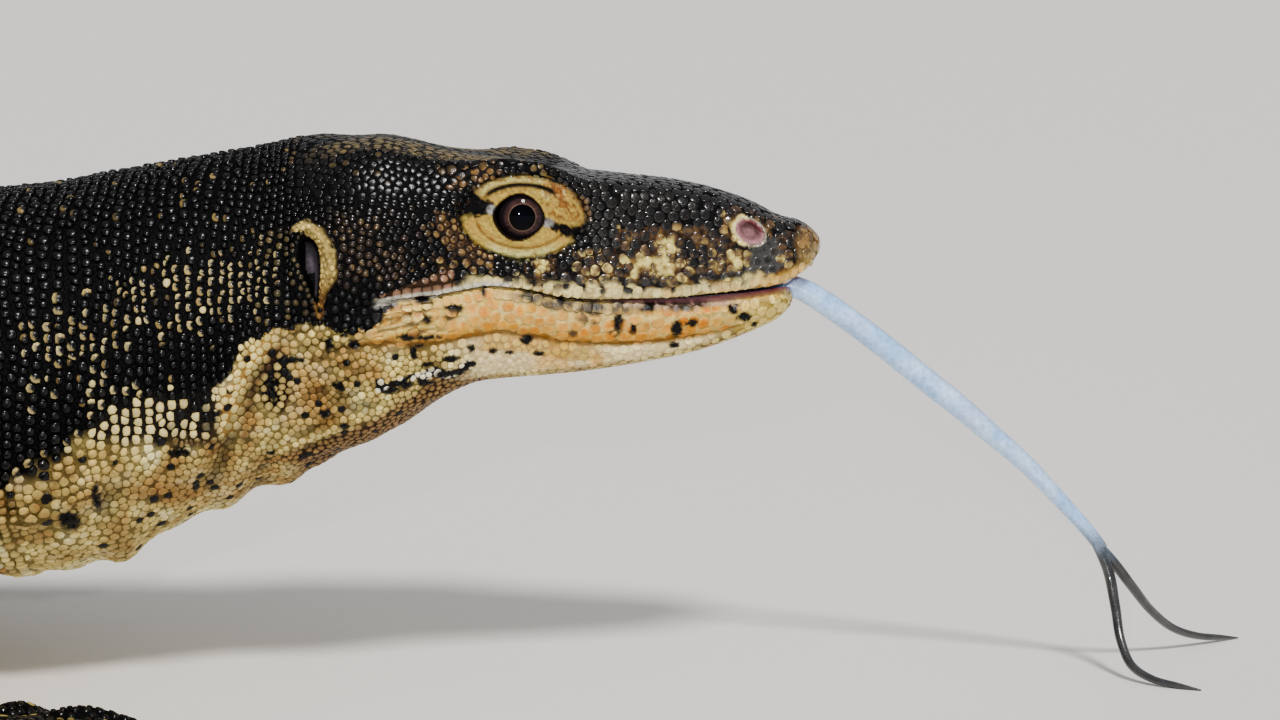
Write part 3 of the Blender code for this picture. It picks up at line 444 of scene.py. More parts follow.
# %% Heights of folds and wrinkles
SKIN_FOLDS = (
    (124.0, 136.0, 2.95, 4.2, 2.6, 4.2),
    (152.0, 204.0, 3.9, 4.5, 2.4, 6.0),
    (110.0, 100.0, 4.0, 4.7, -1.3, 3.0),
    (116.0, 118.0, 4.6, 5.9, 1.2, 3.4),
    (128.0, 132.0, 4.6, 5.9, 1.4, 3.8),
    (150.0, 156.0, 4.7, 5.9, 1.8, 4.5),
)
WRINKLE_HEIGHT = 0.34


def fold_height(s, v):
    """How far the large folds of loose skin stand out."""
    total = np.zeros(np.broadcast(s, v).shape)
    for top, foot, first, last, height, half in SKIN_FOLDS:
        share = np.clip((v - first) / (last - first), 0, 1)
        away = (s - (top + (foot - top) * share)) / half
        fade = ease(first - 0.35, first + 0.25, v) * (1 - ease(last - 0.1, last + 0.4, v))
        total = total + height * fade * np.exp(-away * away)
    return total


def wrinkle_height(s, v, up):
    """Fine wrinkles that run back under the jaw and down the sides of the neck."""
    below_cheek = np.where(s > 82, ease(-2, -4, up), ease(-9, -13, up))
    under_jaw = below_cheek * ease(62, 86, s) * (1 - ease(118, 130, s))
    tilted = up + 0.42 * (s - 80)
    sweep = np.sin(tilted * 1.5 + 2.2 * np.sin(s * 0.13 + up * 0.10))
    patchy = 0.5 + 0.5 * np.sin(s * 0.31 + 1.7 * np.sin(up * 0.23))
    across = ease(104, 130, s) * (1 - ease(210, 260, s)) * ease(3.3, 4.4, v)
    rings = np.sin(s * 0.55 + 2.4 * np.sin(up * 0.13 + s * 0.04)) + 0.8 * np.sin(s * 0.23 - up * 0.17)
    return WRINKLE_HEIGHT * under_jaw * sweep * patchy + WRINKLE_HEIGHT * across * rings


print("largest fold:", round(float(fold_height(np.arange(90.0, 210.0), 3.8).max()), 1), "mm high")

# %% Heights of brow, lips, nostril and ear
JAW_GROOVE = ((10, -7.0), (16, -8.3), (22, -9.8), (34.6, -11.5), (45, -12.0), (57.3, -11.1),
              (64.7, -9.2), (70.3, -8.4), (85.5, -10.7), (96.3, -10.4), (108, -11.0))


def head_height(s, v, up):
    """Everything raised along the section's normal, apart from the lids and the pits."""
    lip_gap = up - smooth(LIP_UP, s)
    before_corner = 1 - ease(MOUTH_CORNER - 2, MOUTH_CORNER + 5, s)
    brow = 0.55 * near(v - 1.0, 0.16) * ease(42, 54, s) * (1 - ease(96, 110, s))
    upper_lip = 0.35 * near(lip_gap - 2.6, 1.6) * (1 - ease(90, 100, s)) * ease(3, 10, s)
    groove_gap = up - line(JAW_GROOVE, s)
    fade = ease(8, 20, s) * (1 - ease(98, 112, s)) * ease(3.0, 3.2, v)
    swelling = fade * (0.55 * near(groove_gap - 4.2, 3.2) - 0.75 * near(groove_gap, 0.8))
    nostril, _ = nostril_share(s, up)
    nostril_rim = 0.4 * near(nostril - 1.32, 0.26) * (v < 3)
    share, ahead, above = ear_share(s, up)
    beside = np.hypot(ahead, above) * (1 - 1 / np.maximum(share, 0.2))
    arch = ease(-2.2, 1.6, ahead + 0.9 * np.maximum(above - 4.0, 0))
    hood = 1.9 * near(beside - 2.1, 1.35) * arch * ease(-10, -6, above)
    behind = 0.45 * near(ahead + 3.4, 1.6) * (1 - ease(4.0, 7.0, np.abs(above)))
    crease = -1.5 * near(lip_gap, 0.7) * before_corner * (v > 2.5) * (v < 3.5)
    return (
        fold_height(s, v) + wrinkle_height(s, v, up) + brow + upper_lip + swelling
        + nostril_rim + hood + behind + crease - COAT_DEPTH
    )


print("hood of the ear:", round(float(head_height(np.arange(104.0, 110.0, 0.2), 2.4, 6.0).max()), 1), "mm")


# %% Lids, nostrils and ears sunk in
def lids_and_pits(s, v, out, up):
    """Half widths with the lids closed round the eyeball and the nostril and ear sunk in."""
    opening, ahead, above = eye_share(s, up)
    lids = lid_share(s, up)
    upper = v < 2.95
    puff = np.sqrt(np.clip(1 - lids * lids, 0, 1))
    out = out + upper * (1.0 * puff - 0.5 * near(lids - 1.03, 0.055))
    over_eye = ease(1, 3, above) * ease(7.5, 5.0, np.abs(ahead))
    out = out - upper * 0.45 * near(lids - 0.80, 0.035) * over_eye
    out = out - upper * 0.25 * near(lids - 0.77, 0.04) * ease(-1, -3, above)
    out = out + upper * 0.3 * near(opening - 1.10, 0.09)
    reach = np.hypot(EYE_STATION - s, up - EYE_UP)
    ball = EYE_CENTRE_OUT + np.sqrt(np.maximum(EYE_RADIUS**2 - reach**2, 0.0)) - 0.9
    inside = upper * (1 - ease(0.91, 1.0, opening))
    out = out * (1 - inside) + np.minimum(ball, out) * inside
    nostril, _ = nostril_share(s, up)
    out = out - upper * 1.9 * (1 - ease(0.55, 1.05, nostril)) * ease(3, 8, s)
    ear, _, _ = ear_share(s, up)
    return out - 2.6 * (1 - ease(0.55, 1.08, ear))


print("the lids stand out", round(float(lids_and_pits(66.0, 1.5, 20.0, 23.0)) - 20, 2), "mm above the eye")

# %% The finished half section
MOUTH_OPEN = ((6, 2.4), (14, 2.35), (23, 2.2), (30, 1.75), (36, 1.3), (42, 0.9), (50, 0.5),
              (60, 0.3), (88, 0.3), (96, 0.0))
LOWER_LIP_IN = 0.5


def half_section(stations, knots, lower=False):
    """The finished half section, for the lower jaw if lower is true, with all its relief."""
    points = section_curve(stations, knots)
    s = np.asarray(stations, float)[:, None]
    v = knots[None, :]
    up = points[..., 1]
    height = head_height(s, v, up)
    size = roundness(stations, 0.0, SNOUT_ROUND)[:, None]
    made = points + outward(points) * (height * np.maximum(size, 0.3))[..., None]
    head = np.asarray(stations) < 130
    made[head, :, 0] = lids_and_pits(s, v, made[..., 0], up)[head]
    made[..., 0] = np.maximum(made[..., 0], 0.0)
    made[:, knots == 0, 0] = 0.0
    made[:, knots == BOTTOM_KNOT, 0] = 0.0
    if lower:
        fade = 1 - ease(3.0, 3.6, v)
        made[..., 1] -= smooth(MOUTH_OPEN, stations)[:, None] * fade
        made[..., 0] -= LOWER_LIP_IN * (1 - ease(88, MOUTH_CORNER, s)) * fade
        share = roundness(stations, CHIN_STATION, CHIN_ROUND)
        made = shrink_to(made, CHIN_CENTRE_UP, share)
    return made


trial = half_section(np.array([66.2, 110.9]), np.linspace(0, 6, 61))
print("widest at the eye and ear:", np.round(trial[..., 0].max(1), 1).tolist(), "mm")

# %% [markdown]
# ## One skin for the whole animal
# The skin is built row by row as arrays of points and faces, because one smooth grid can be fine at
# the eye and coarse on the tail. In front of the corner of the mouth each row is two closed rings,
# one for the upper jaw with the roof of the mouth and one for the lower jaw with its floor.

# %% Rows and columns of the skin grid
def steps(*spans):
    """Stations through spans given as (end, step), from the start given first."""
    start = spans[0]
    made = [np.array([start])]
    for end, step in spans[1:]:
        made.append(np.linspace(start, end, max(2, round((end - start) / step) + 1))[1:])
        start = end
    return np.concatenate(made)


def round_rows(start, length, count):
    """Stations that crowd towards a round tip."""
    return start + length * (1 - np.cos(np.linspace(0.06, math.pi / 2, count)))


UPPER_KNOTS = np.concatenate([np.linspace(0, 1, 25), np.linspace(1, 3, 91)[1:]])
LOWER_KNOTS = np.linspace(3, 6, 64)
LINING = 12
UPPER_ROWS = np.concatenate([
    round_rows(0.0, SNOUT_ROUND, 20),
    steps(6.0, (10, 0.4), (22, 0.27), (57, 0.5), (76, 0.27), (MOUTH_CORNER, 0.5))[1:],
])
LOWER_ROWS = np.concatenate([
    round_rows(CHIN_STATION, CHIN_ROUND, 18),
    steps(CHIN_STATION + CHIN_ROUND, (MOUTH_CORNER, 0.6))[1:],
])
RING_ROWS = steps(MOUTH_CORNER, (104, 0.45), (117, 0.33), (130, 0.6))[1:]
TRUNK_ROWS = steps(130.0, (205, 1.1), (330, 2.2), (680, 2.8), (1660, 4.0))[1:]
print(len(UPPER_ROWS), "rows of the upper jaw,", len(TRUNK_ROWS), "rows behind the head")


def both_sides(halves, reverse=False):
    """Whole strips from half strips: left edge, over the middle, to the right edge."""
    mirrored = halves[:, ::-1] * np.array([-1.0, 1.0])
    if reverse:
        return np.concatenate([halves, mirrored[:, 1:]], axis=1)
    return np.concatenate([mirrored[:, :-1], halves], axis=1)


def lining(lips, depth, stations, gum=0.0):
    """Inner columns from one lip to the other, arched by a depth, with a gum inside each lip."""
    share = np.linspace(0, 1, LINING + 2)[1:-1][None, :]
    fade = (1 - ease(84, MOUTH_CORNER, stations)) * ease(0, 14, stations - stations[0])
    out = lips[:, :1] * (1 - 2 * share)
    arch = np.sin(math.pi * share) ** 0.5
    at_gum = np.minimum(share, 1 - share) < 0.2
    ridge = gum * smooth(MOUTH_OPEN, stations)[:, None]
    up = lips[:, 1:] + np.where(at_gum, ridge, depth * arch * fade[:, None])
    return np.stack([out, up], -1)


# %% Faces between rings
def ring_angles(sides):
    """Angles of the points of a ring, evenly spaced."""
    return np.linspace(0, 2 * math.pi, sides, endpoint=False)


def ring_faces(first, second, around):
    """Quads between two rings of points that start at the given numbers."""
    j = np.arange(around)
    k = (j + 1) % around
    return np.stack([first + j, first + k, second + k, second + j], -1)


def fan(ring, centre, flip):
    """Triangles from a ring to its centre, each as a quad with a doubled corner."""
    after = np.roll(ring, -1)
    pair = (after, ring) if flip else (ring, after)
    middle = np.full(len(ring), centre)
    return np.stack([*pair, middle, middle], -1)


print("faces between two rings of three:", ring_faces(0, 3, 3).tolist())

# %% Rings of the jaws
upper_half = half_section(UPPER_ROWS, UPPER_KNOTS)
lower_half = half_section(LOWER_ROWS, LOWER_KNOTS, lower=True)
upper_rings = np.concatenate([
    both_sides(upper_half), lining(upper_half[:, -1], 3.4, UPPER_ROWS),
], axis=1)
lower_floor = lining(lower_half[:, 0] * np.array([-1.0, 1.0]), -3.2, LOWER_ROWS, 0.55)
lower_rings = np.concatenate([both_sides(lower_half, True), lower_floor], axis=1)
print(upper_rings.shape[1], "points round the upper jaw,", lower_rings.shape[1], "round the lower")


# %% Rings of the trunk
def whole_rings(rows, knots):
    """Closed rings of the trunk: left lip, over the back, right lip, under the belly."""
    halves = half_section(rows, knots)
    lip = int(np.argmin(np.abs(knots - LIP_KNOT)))
    upper = both_sides(halves[:, : lip + 1])
    lower = both_sides(halves[:, lip:], True)
    return np.concatenate([upper, lower[:, 1:-1]], axis=1)


all_knots = np.concatenate([UPPER_KNOTS, LOWER_KNOTS[1:]])
ring_part = whole_rings(RING_ROWS, all_knots)
trunk_part = whole_rings(TRUNK_ROWS, all_knots[::3])
blocks = [
    (UPPER_ROWS, upper_rings), (LOWER_ROWS, lower_rings),
    (RING_ROWS, ring_part), (TRUNK_ROWS, trunk_part),
]
skin_points, starts, total = [], [], 0
for rows, rings in blocks:
    starts.append(total)
    skin_points.append(place_sections(rows, rings).reshape(-1, 3))
    total += rings.shape[0] * rings.shape[1]
skin_points = np.concatenate(skin_points)
quads = []
for (rows, rings), start in zip(blocks, starts):
    around = rings.shape[1]
    for row in range(len(rows) - 1):
        quads.append(ring_faces(start + row * around, start + (row + 1) * around, around))
print(total, "points in", len(blocks), "blocks of rings")

# %% Join the jaws to the head
upper_last = starts[0] + (len(UPPER_ROWS) - 1) * upper_rings.shape[1]
lower_last = starts[1] + (len(LOWER_ROWS) - 1) * lower_rings.shape[1]
wide = 2 * len(UPPER_KNOTS) - 1
deep = 2 * len(LOWER_KNOTS) - 1
upper_edge = upper_last + np.arange(wide)
lower_edge = lower_last + np.arange(deep)
joined = np.concatenate([upper_edge, lower_edge[1:-1]])
ring_first = starts[2] + np.arange(ring_part.shape[1])
quads.append(np.stack([
    joined, np.roll(joined, -1), np.roll(ring_first, -1), ring_first,
], -1))
same = np.arange(total + 3)
same[lower_edge[0]] = upper_edge[-1]
same[lower_edge[-1]] = upper_edge[0]
floor_last = lower_last + deep + np.arange(LINING)
roof_last = upper_last + wide + np.arange(LINING)
same[floor_last] = roof_last[::-1]
print(len(joined), "points round the corner of the mouth")

# %% From fine rings to coarse ones, and the three tips
TIP_ROWS = ((0, 0, True), (1, 0, True), (3, -1, False))
fine = starts[2] + (len(RING_ROWS) - 1) * ring_part.shape[1] + np.arange(ring_part.shape[1])
coarse = starts[3] + np.arange(trunk_part.shape[1])
next_coarse = np.roll(coarse, -1)
third = [fine[0::3], fine[1::3], fine[2::3], np.roll(fine[0::3], -1)]
quads.append(np.stack([third[0], third[1], coarse, coarse], -1))
quads.append(np.stack([third[1], third[2], next_coarse, coarse], -1))
quads.append(np.stack([third[2], third[3], next_coarse, next_coarse], -1))
tips = []
for number, (block, row, flip) in enumerate(TIP_ROWS):
    around = blocks[block][1].shape[1]
    count = len(blocks[block][0])
    ring = starts[block] + (row % count) * around + np.arange(around)
    tips.append(skin_points[ring].mean(0))
    quads.append(fan(ring, total + number, flip))
skin_points = np.concatenate([skin_points, tips])
skin_quads = same[np.concatenate(quads)]
print(len(skin_points), "points and", len(skin_quads), "faces in the trunk")

# %% [markdown]
# ## Legs and feet
# Each leg is a tube that swells at the muscles, and each foot is a palm with five toes. All of them
# are tubes along smooth paths through a few listed places, because a leg that is set by numbers can
# stand on the floor exactly. They may cross each other here, and are melted into one surface later.

# %% Sizes of legs, feet and claws
LEG_RINGS = 81
PALM_START = 68
FRONT_LEG_THICKNESS = ((0, 25), (0.16, 22.5), (0.34, 17.5), (0.50, 14.0), (0.60, 14.6),
                       (0.72, 13.6), (0.88, 10.2), (1, 9.0))
HIND_LEG_THICKNESS = ((0, 30), (0.16, 28.0), (0.34, 22.5), (0.50, 16.5), (0.60, 16.6),
                      (0.72, 15.4), (0.88, 11.0), (1, 9.6))
LEGS = (
    ("front_right", -1, ((262, 22, 62), (260, 60, 67), (245, 98, 58), (210, 107, 33),
                         (178, 105, 14)), 5, "front"),
    ("front_left", 1, ((262, 22, 62), (276, 62, 65), (300, 99, 54), (292, 116, 30),
                       (272, 121, 13)), 24, "front"),
    ("hind_right", -1, ((614, 18, 62), (596, 58, 67), (582, 104, 64), (612, 128, 38),
                        (640, 132, 15)), 28, "hind"),
    ("hind_left", 1, ((614, 18, 62), (584, 56, 66), (548, 98, 62), (560, 128, 36),
                      (566, 136, 15)), 14, "hind"),
)
FRONT_TOES = ((-52, 10, -11, 21, 4.5), (-20, 20, -9, 29, 4.6), (2, 24, -1.5, 33, 4.7),
              (24, 21, 6.5, 31, 4.6), (58, 12, 11, 23, 4.3))
HIND_TOES = ((-44, 14, -12, 24, 4.9), (-20, 27, -10, 33, 5.0), (-2, 32, -2.5, 41, 5.1),
             (16, 31, 6, 47, 5.1), (62, 16, 12, 30, 4.6))
PALM = {"front": (30.0, 14.5, 8.4), "hind": (39.0, 16.5, 9.2)}
PALM_SHAPE = ((-0.06, 1.40, 0.62, 1.04), (0.20, 1.02, 0.74, 1.03), (0.48, 0.90, 0.92, 0.98),
              (0.78, 0.88, 0.98, 0.94), (1.0, 0.84, 0.80, 0.74))
TOE_RISE = ((-0.30, 8.0, 1.15), (0.0, 9.6, 1.06), (0.28, 10.8, 1.08), (0.54, 8.4, 0.98),
            (0.80, 4.2, 0.98), (1.0, 3.5, 0.82))
TOE_RINGS = 34
CLAW = {"front": (11.5, 2.5), "hind": (13.0, 2.7)}
VOXEL = 1.1
print("toes on each foot:", len(FRONT_TOES), "and", len(HIND_TOES))


# %% Paths and tubes
def path_through(points, count):
    """A smooth path, evenly spaced, through a few points of any dimension."""
    points = np.array(points, float)
    at = np.concatenate([[0], np.cumsum(np.linalg.norm(np.diff(points[:, :3], axis=0), axis=1))])
    x = np.linspace(0, at[-1], count)
    i = np.clip(np.searchsorted(at, x, side="right") - 1, 0, len(at) - 2)
    slope = np.stack([np.gradient(points[:, c], at) for c in range(points.shape[1])], -1)
    step = (at[i + 1] - at[i])[:, None]
    t = (x - at[i])[:, None] / step
    return curve_between(points[i], step * slope[i], points[i + 1], step * slope[i + 1], t)


def tube(path, thick, wide, sides, up=(0.0, 0.0, 1.0)):
    """Points and quads of a closed tube, thick along its normal and wide across."""
    tangent = np.gradient(path, axis=0)
    tangent /= np.linalg.norm(tangent, axis=1, keepdims=True)
    side = np.cross(tangent, np.array(up, float))
    side /= np.maximum(np.linalg.norm(side, axis=1, keepdims=True), 1e-9)
    normal = np.cross(side, tangent)
    angle = ring_angles(sides)
    wide, thick = np.asarray(wide)[:, None, None], np.asarray(thick)[:, None, None]
    across = np.cos(angle)[None, :, None] * side[:, None] * wide
    over = np.sin(angle)[None, :, None] * normal[:, None] * thick
    points = (path[:, None] + across + over).reshape(-1, 3)
    count = len(path)
    faces = [ring_faces(i * sides, (i + 1) * sides, sides) for i in range(count - 1)]
    faces.append(fan(np.arange(sides), count * sides, True))
    faces.append(fan((count - 1) * sides + np.arange(sides), count * sides + 1, False))
    return np.concatenate([points, path[:1], path[-1:]]), np.concatenate(faces)


def gathered(parts):
    """One set of points and faces from several."""
    points, faces, total = [], [], 0
    for some_points, some_faces in parts:
        points.append(some_points)
        faces.append(some_faces + total)
        total += len(some_points)
    return np.concatenate(points), np.concatenate(faces)


print("points of a path of three:", path_through([(0, 0, 0), (1, 0, 0)], 3)[:, 0].tolist())


# %% Meshes from arrays
def make_mesh(name, points, faces, materials=(), which=None):
    """A mesh object from millimetre points and quads, in which a doubled corner is a triangle."""
    corners = np.asarray(faces)
    keep = np.ones(corners.shape, bool)
    if corners.shape[1] == 4:
        keep[:, 3] = corners[:, 3] != corners[:, 2]
    size = keep.sum(1)
    mesh = bpy.data.meshes.new(name)
    mesh.vertices.add(len(points))
    mesh.vertices.foreach_set("co", to_world(points).astype(np.float32).ravel())
    mesh.loops.add(int(size.sum()))
    mesh.loops.foreach_set("vertex_index", corners[keep].astype(np.int32))
    mesh.polygons.add(len(corners))
    mesh.polygons.foreach_set("loop_start", np.concatenate([[0], np.cumsum(size)[:-1]]).astype(np.int32))
    if which is not None:
        mesh.polygons.foreach_set("material_index", which.astype(np.int32))
    mesh.update(calc_edges=True)
    for made in materials:
        mesh.materials.append(made)
    mesh.shade_smooth()
    return placed(name, mesh)


def signed_volume(points, faces):
    """Volume in cubic millimetres, negative where the faces look inwards."""
    total = 0.0
    for a, b, c in ((0, 1, 2), (0, 2, 3)):
        p, q, r = (points[faces[:, k]] for k in (a, b, c))
        total += float(np.einsum("ij,ij->i", p, np.cross(q, r)).sum()) / 6
    return total


def facing_out(points, faces):
    """The faces, turned over where they look inwards."""
    if signed_volume(points, faces) >= 0:
        return points, faces
    corners = faces[:, ::-1].copy()
    doubled = faces[:, 2] == faces[:, 3]
    corners[doubled] = faces[doubled][:, [1, 0, 2, 3]]
    return points, corners


skin_points, skin_quads = facing_out(skin_points, skin_quads)
print("trunk volume", round(signed_volume(skin_points, skin_quads) / 1000), "cubic centimetres")


# %% Leg and toe paths
def leg_path(side, joints, count):
    """A smooth path through a leg's joints, given as (station, outwards, height)."""
    points = []
    for station, out, up in joints:
        x, y, turn = (float(v[0]) for v in spine_at(np.array([float(station)])))
        points.append((x - side * out * math.sin(turn), y + side * out * math.cos(turn), up))
    return path_through(points, count)


def foot_point(origin, heading, side, ahead, out, up):
    """A point of a foot, from its place ahead of and outwards from the wrist."""
    cos, sin = math.cos(heading), math.sin(heading) * side
    outwards = out * side
    return (origin[0] + ahead * cos - outwards * sin, origin[1] + ahead * sin + outwards * cos, up)


def toe_path(origin, heading, side, toe, count=9):
    """The path of a toe, which arches over its knuckle and comes down on its pad."""
    turn, ahead, out, length, half = toe
    lean = math.radians(turn)
    points = []
    for share, up, size in TOE_RISE:
        reach = share * length
        place = foot_point(origin, heading, side, ahead + reach * math.cos(lean),
                           out + reach * math.sin(lean), up)
        points.append((*place, half * size))
    return path_through(points, count)


print("the toes rise to", max(up for _, up, _ in TOE_RISE), "mm over their knuckles")


# %% Legs as tubes
def leg_parts(leg):
    """Tubes of one leg, its palm and its toes, and what the claws need to know."""
    name, side, joints, heading, kind = leg
    path = leg_path(side, joints, LEG_RINGS)
    share = np.linspace(0, 1, LEG_RINGS)
    thickness = FRONT_LEG_THICKNESS if kind == "front" else HIND_LEG_THICKNESS
    radius = smooth(thickness, share) - COAT_DEPTH
    parts = [tube(path[:-2], radius[:-2] * 0.94, radius[:-2], 32)]
    wrist = path[-1]
    turn = math.radians(heading) + float(spine_at(np.array([float(joints[0][0])]))[2][0]) * side
    length, half, thick = PALM[kind]
    sole = [(*path[PALM_START], half * 0.55, half * 0.55)]
    for ahead, up, wide, deep in PALM_SHAPE:
        place = foot_point(wrist, turn, side, length * ahead, 0, thick * up)
        sole.append((*place, half * wide, thick * deep))
    sole = path_through(sole, 30)
    parts.append(tube(sole[:, :3], sole[:, 4] - 0.2, sole[:, 3] - 0.2, 24))
    toes = FRONT_TOES if kind == "front" else HIND_TOES
    claws = []
    for toe in toes:
        toe_line = toe_path(wrist, turn, side, toe, TOE_RINGS)
        bulge = 1 + 0.05 * np.sin(np.linspace(0, 3.2 * math.pi, TOE_RINGS))
        size = toe_line[:, 3] * bulge - 0.2
        parts.append(tube(toe_line[:, :3], size, size * 0.9, 16))
        claws.append(toe_path(wrist, turn, side, toe)[:, :3])
    return parts, {"name": name, "kind": kind, "path": path, "radius": radius, "claws": claws}


leg_meshes, legs = [], []
for leg in LEGS:
    parts, facts = leg_parts(leg)
    leg_meshes.extend(facing_out(*part) for part in parts)
    legs.append(facts)
leg_points, leg_faces = gathered(leg_meshes)
print(len(leg_meshes), "tubes in four legs,", len(leg_points), "points")

# %% [markdown]
# ## From tubes to flesh
# Skin runs over a leg without a seam. Voxels melt the tubes of each leg into one surface, a union
# joins it to the trunk, and both are relaxed: points move towards the middle of their neighbours.
# A sculpted join would look the same, but it could not be repeated from numbers.

# %% Modifiers, unions and relaxing
def applied(obj):
    """Applies the modifiers of an object and gives back its mesh."""
    graph = bpy.context.evaluated_depsgraph_get()
    mesh = bpy.data.meshes.new_from_object(obj.evaluated_get(graph))
    obj.modifiers.clear()
    old, obj.data = obj.data, mesh
    bpy.data.meshes.remove(old)
    return mesh


def mesh_arrays(mesh):
    """Points in millimetres of the animal's frame, triangles and the material of each."""
    mesh.calc_loop_triangles()
    co = np.empty(len(mesh.vertices) * 3, np.float32)
    mesh.vertices.foreach_get("co", co)
    corners = np.empty(len(mesh.loop_triangles) * 3, np.int32)
    mesh.loop_triangles.foreach_get("vertices", corners)
    owner = np.empty(len(mesh.loop_triangles), np.int32)
    mesh.loop_triangles.foreach_get("polygon_index", owner)
    which = np.empty(len(mesh.polygons), np.int32)
    mesh.polygons.foreach_get("material_index", which)
    return co.reshape(-1, 3).astype(float) / MM - SNOUT_TIP, corners.reshape(-1, 3), which[owner]


def united(first, others):
    """Points, triangles and materials of one solid from several that cross each other."""
    for other in others:
        union = first.modifiers.new("join", "BOOLEAN")
        union.operation = "UNION"
        union.solver = "MANIFOLD"
        union.object = other
    made = mesh_arrays(applied(first))
    for other in others:
        bpy.data.objects.remove(other)
    return made


def relaxed(points, triangles, weight, rounds):
    """Moves each point towards the middle of its neighbours by its weight, several times."""
    pairs = np.concatenate([triangles[:, [0, 1]], triangles[:, [1, 2]], triangles[:, [2, 0]]])
    pairs = np.unique(np.sort(pairs, axis=1), axis=0)
    busy = (weight[pairs[:, 0]] > 0) | (weight[pairs[:, 1]] > 0)
    a, b = pairs[busy].T
    count = np.bincount(a, minlength=len(points)) + np.bincount(b, minlength=len(points))
    points = points.copy()
    for _ in range(rounds):
        middle = np.zeros_like(points)
        for c in range(3):
            middle[:, c] = np.bincount(a, points[b, c], len(points))
            middle[:, c] += np.bincount(b, points[a, c], len(points))
        middle /= np.maximum(count, 1)[:, None]
        points += (middle - points) * (weight * (count > 0))[:, None]
    return points


print("a relaxed corner:", relaxed(np.eye(3), np.array([[0, 1, 2]]), np.full(3, 0.5), 1)[0].tolist())

# %% Melt the legs
leg_object = make_mesh("legs", leg_points, leg_faces)
melt = leg_object.modifiers.new("melt", "REMESH")
melt.mode = "VOXEL"
melt.voxel_size = VOXEL * MM
melt.use_smooth_shade = True
leg_points, leg_triangles, _ = mesh_arrays(applied(leg_object))
leg_points = relaxed(leg_points, leg_triangles, np.full(len(leg_points), 0.5), 3)
leg_points[:, 2] = np.maximum(leg_points[:, 2], FLOOR_GAP)
leg_object.data.vertices.foreach_set("co", to_world(leg_points).astype(np.float32).ravel())
leg_object.data.update()
print(len(leg_triangles), "triangles in the legs")

# %% Lining of the mouth
linings = np.zeros(len(skin_quads), int)
MOUTH_WET, HIDE = 1, 0
for (rows, rings), start, columns in zip(blocks[:2], starts[:2], (wide, deep)):
    around = rings.shape[1]
    last = start + len(rows) * around
    inner = (skin_quads >= start) & (skin_quads < last) & ((skin_quads - start) % around >= columns)
    linings[inner.any(1)] = MOUTH_WET
print(int(linings.sum()), "faces line the mouth")

# %% Union of trunk and legs
hide = new_material("hide", (0.1, 0.09, 0.07), 0.42)
mouth_wet = new_material("mouth_wet", (0.42, 0.10, 0.11), 0.22)
skin = make_mesh("skin", skin_points, skin_quads, (hide, mouth_wet), linings)
leg_object.data.materials.clear()
leg_object.data.materials.append(hide)
points, triangles, which = united(skin, [leg_object])
print("joined skin:", len(points), "points")

# %% [markdown]
# ## Where a point is on the animal
# Scales and markings ask where they are: how far along the spine, how far round the body, or how far
# down a leg. A search tree gives the nearest place of a middle line, which is quicker than a
# projection on the whole curve, and two short corrections make the station exact.

# %% Places along the spine
STRAIGHT_FRONT = 148
SPINE_STEP = 4


def tree_of(places):
    """A search tree of places."""
    tree = KDTree(len(places))
    for i, place in enumerate(places.tolist()):
        tree.insert(place, i)
    tree.balance()
    return tree


SPINE_PLACES = np.stack([SPINE_X, SPINE_Y, np.zeros(len(SPINE_X))], -1)[::SPINE_STEP]
SPINE_TREE = tree_of(SPINE_PLACES)


def local_places(points):
    """Station, distance to the right of the spine and height above the mouth, for points."""
    bent = points[:, 0] < -STRAIGHT_FRONT
    station = -points[:, 0].copy()
    found = [SPINE_TREE.find((x, y, 0.0)) for x, y in points[bent, :2].tolist()]
    station[bent] = [SPINE_STEP * index for _, index, _ in found]
    for _ in range(2):
        x, y, turn = spine_at(station)
        ahead = (points[:, 0] - x) * np.cos(turn) + (points[:, 1] - y) * np.sin(turn)
        station = np.where(bent, station - ahead, station)
    x, y, turn = spine_at(station)
    right = (points[:, 0] - x) * np.sin(turn) - (points[:, 1] - y) * np.cos(turn)
    return station, right, points[:, 2] - MOUTH_HEIGHT


print(len(SPINE_PLACES), "places along the spine")

# %% Places round the trunk
SHELL_STATIONS = np.linspace(0.5, 1659.5, 416)
SHELL_ANGLES = np.linspace(0, math.pi, 37)


def make_shell():
    """Distance from the middle of each section to its outline, by angle from the top."""
    knots = np.linspace(0, 6, 121)
    curve = section_curve(SHELL_STATIONS, knots)
    middle = (curve[:, 0, 1] + curve[:, -1, 1]) / 2
    reach = np.empty((len(SHELL_STATIONS), len(SHELL_ANGLES)))
    for i, (row, level) in enumerate(zip(curve, middle)):
        angle = np.arctan2(np.maximum(row[:, 0], 0), row[:, 1] - level)
        angle = np.maximum.accumulate(angle)
        reach[i] = np.interp(SHELL_ANGLES, angle, np.hypot(row[:, 0], row[:, 1] - level))
    return middle, reach


SHELL_MIDDLE, SHELL_REACH = make_shell()


def shell_places(station, right, up):
    """Angle from the top, distance beyond the trunk's smooth outline, and that outline's reach."""
    middle = np.interp(station, SHELL_STATIONS, SHELL_MIDDLE)
    angle = np.arctan2(np.abs(right), up - middle)
    step = SHELL_STATIONS[1] - SHELL_STATIONS[0]
    i = np.clip((station - SHELL_STATIONS[0]) / step, 0, len(SHELL_STATIONS) - 1.001)
    j = np.clip(angle / (SHELL_ANGLES[1] - SHELL_ANGLES[0]), 0, len(SHELL_ANGLES) - 1.001)
    a, b = i.astype(int), j.astype(int)
    p, q = i - a, j - b
    table = SHELL_REACH
    reach = (
        table[a, b] * (1 - p) * (1 - q) + table[a + 1, b] * p * (1 - q)
        + table[a, b + 1] * (1 - p) * q + table[a + 1, b + 1] * p * q
    )
    return angle, np.hypot(right, up - middle) - reach, reach


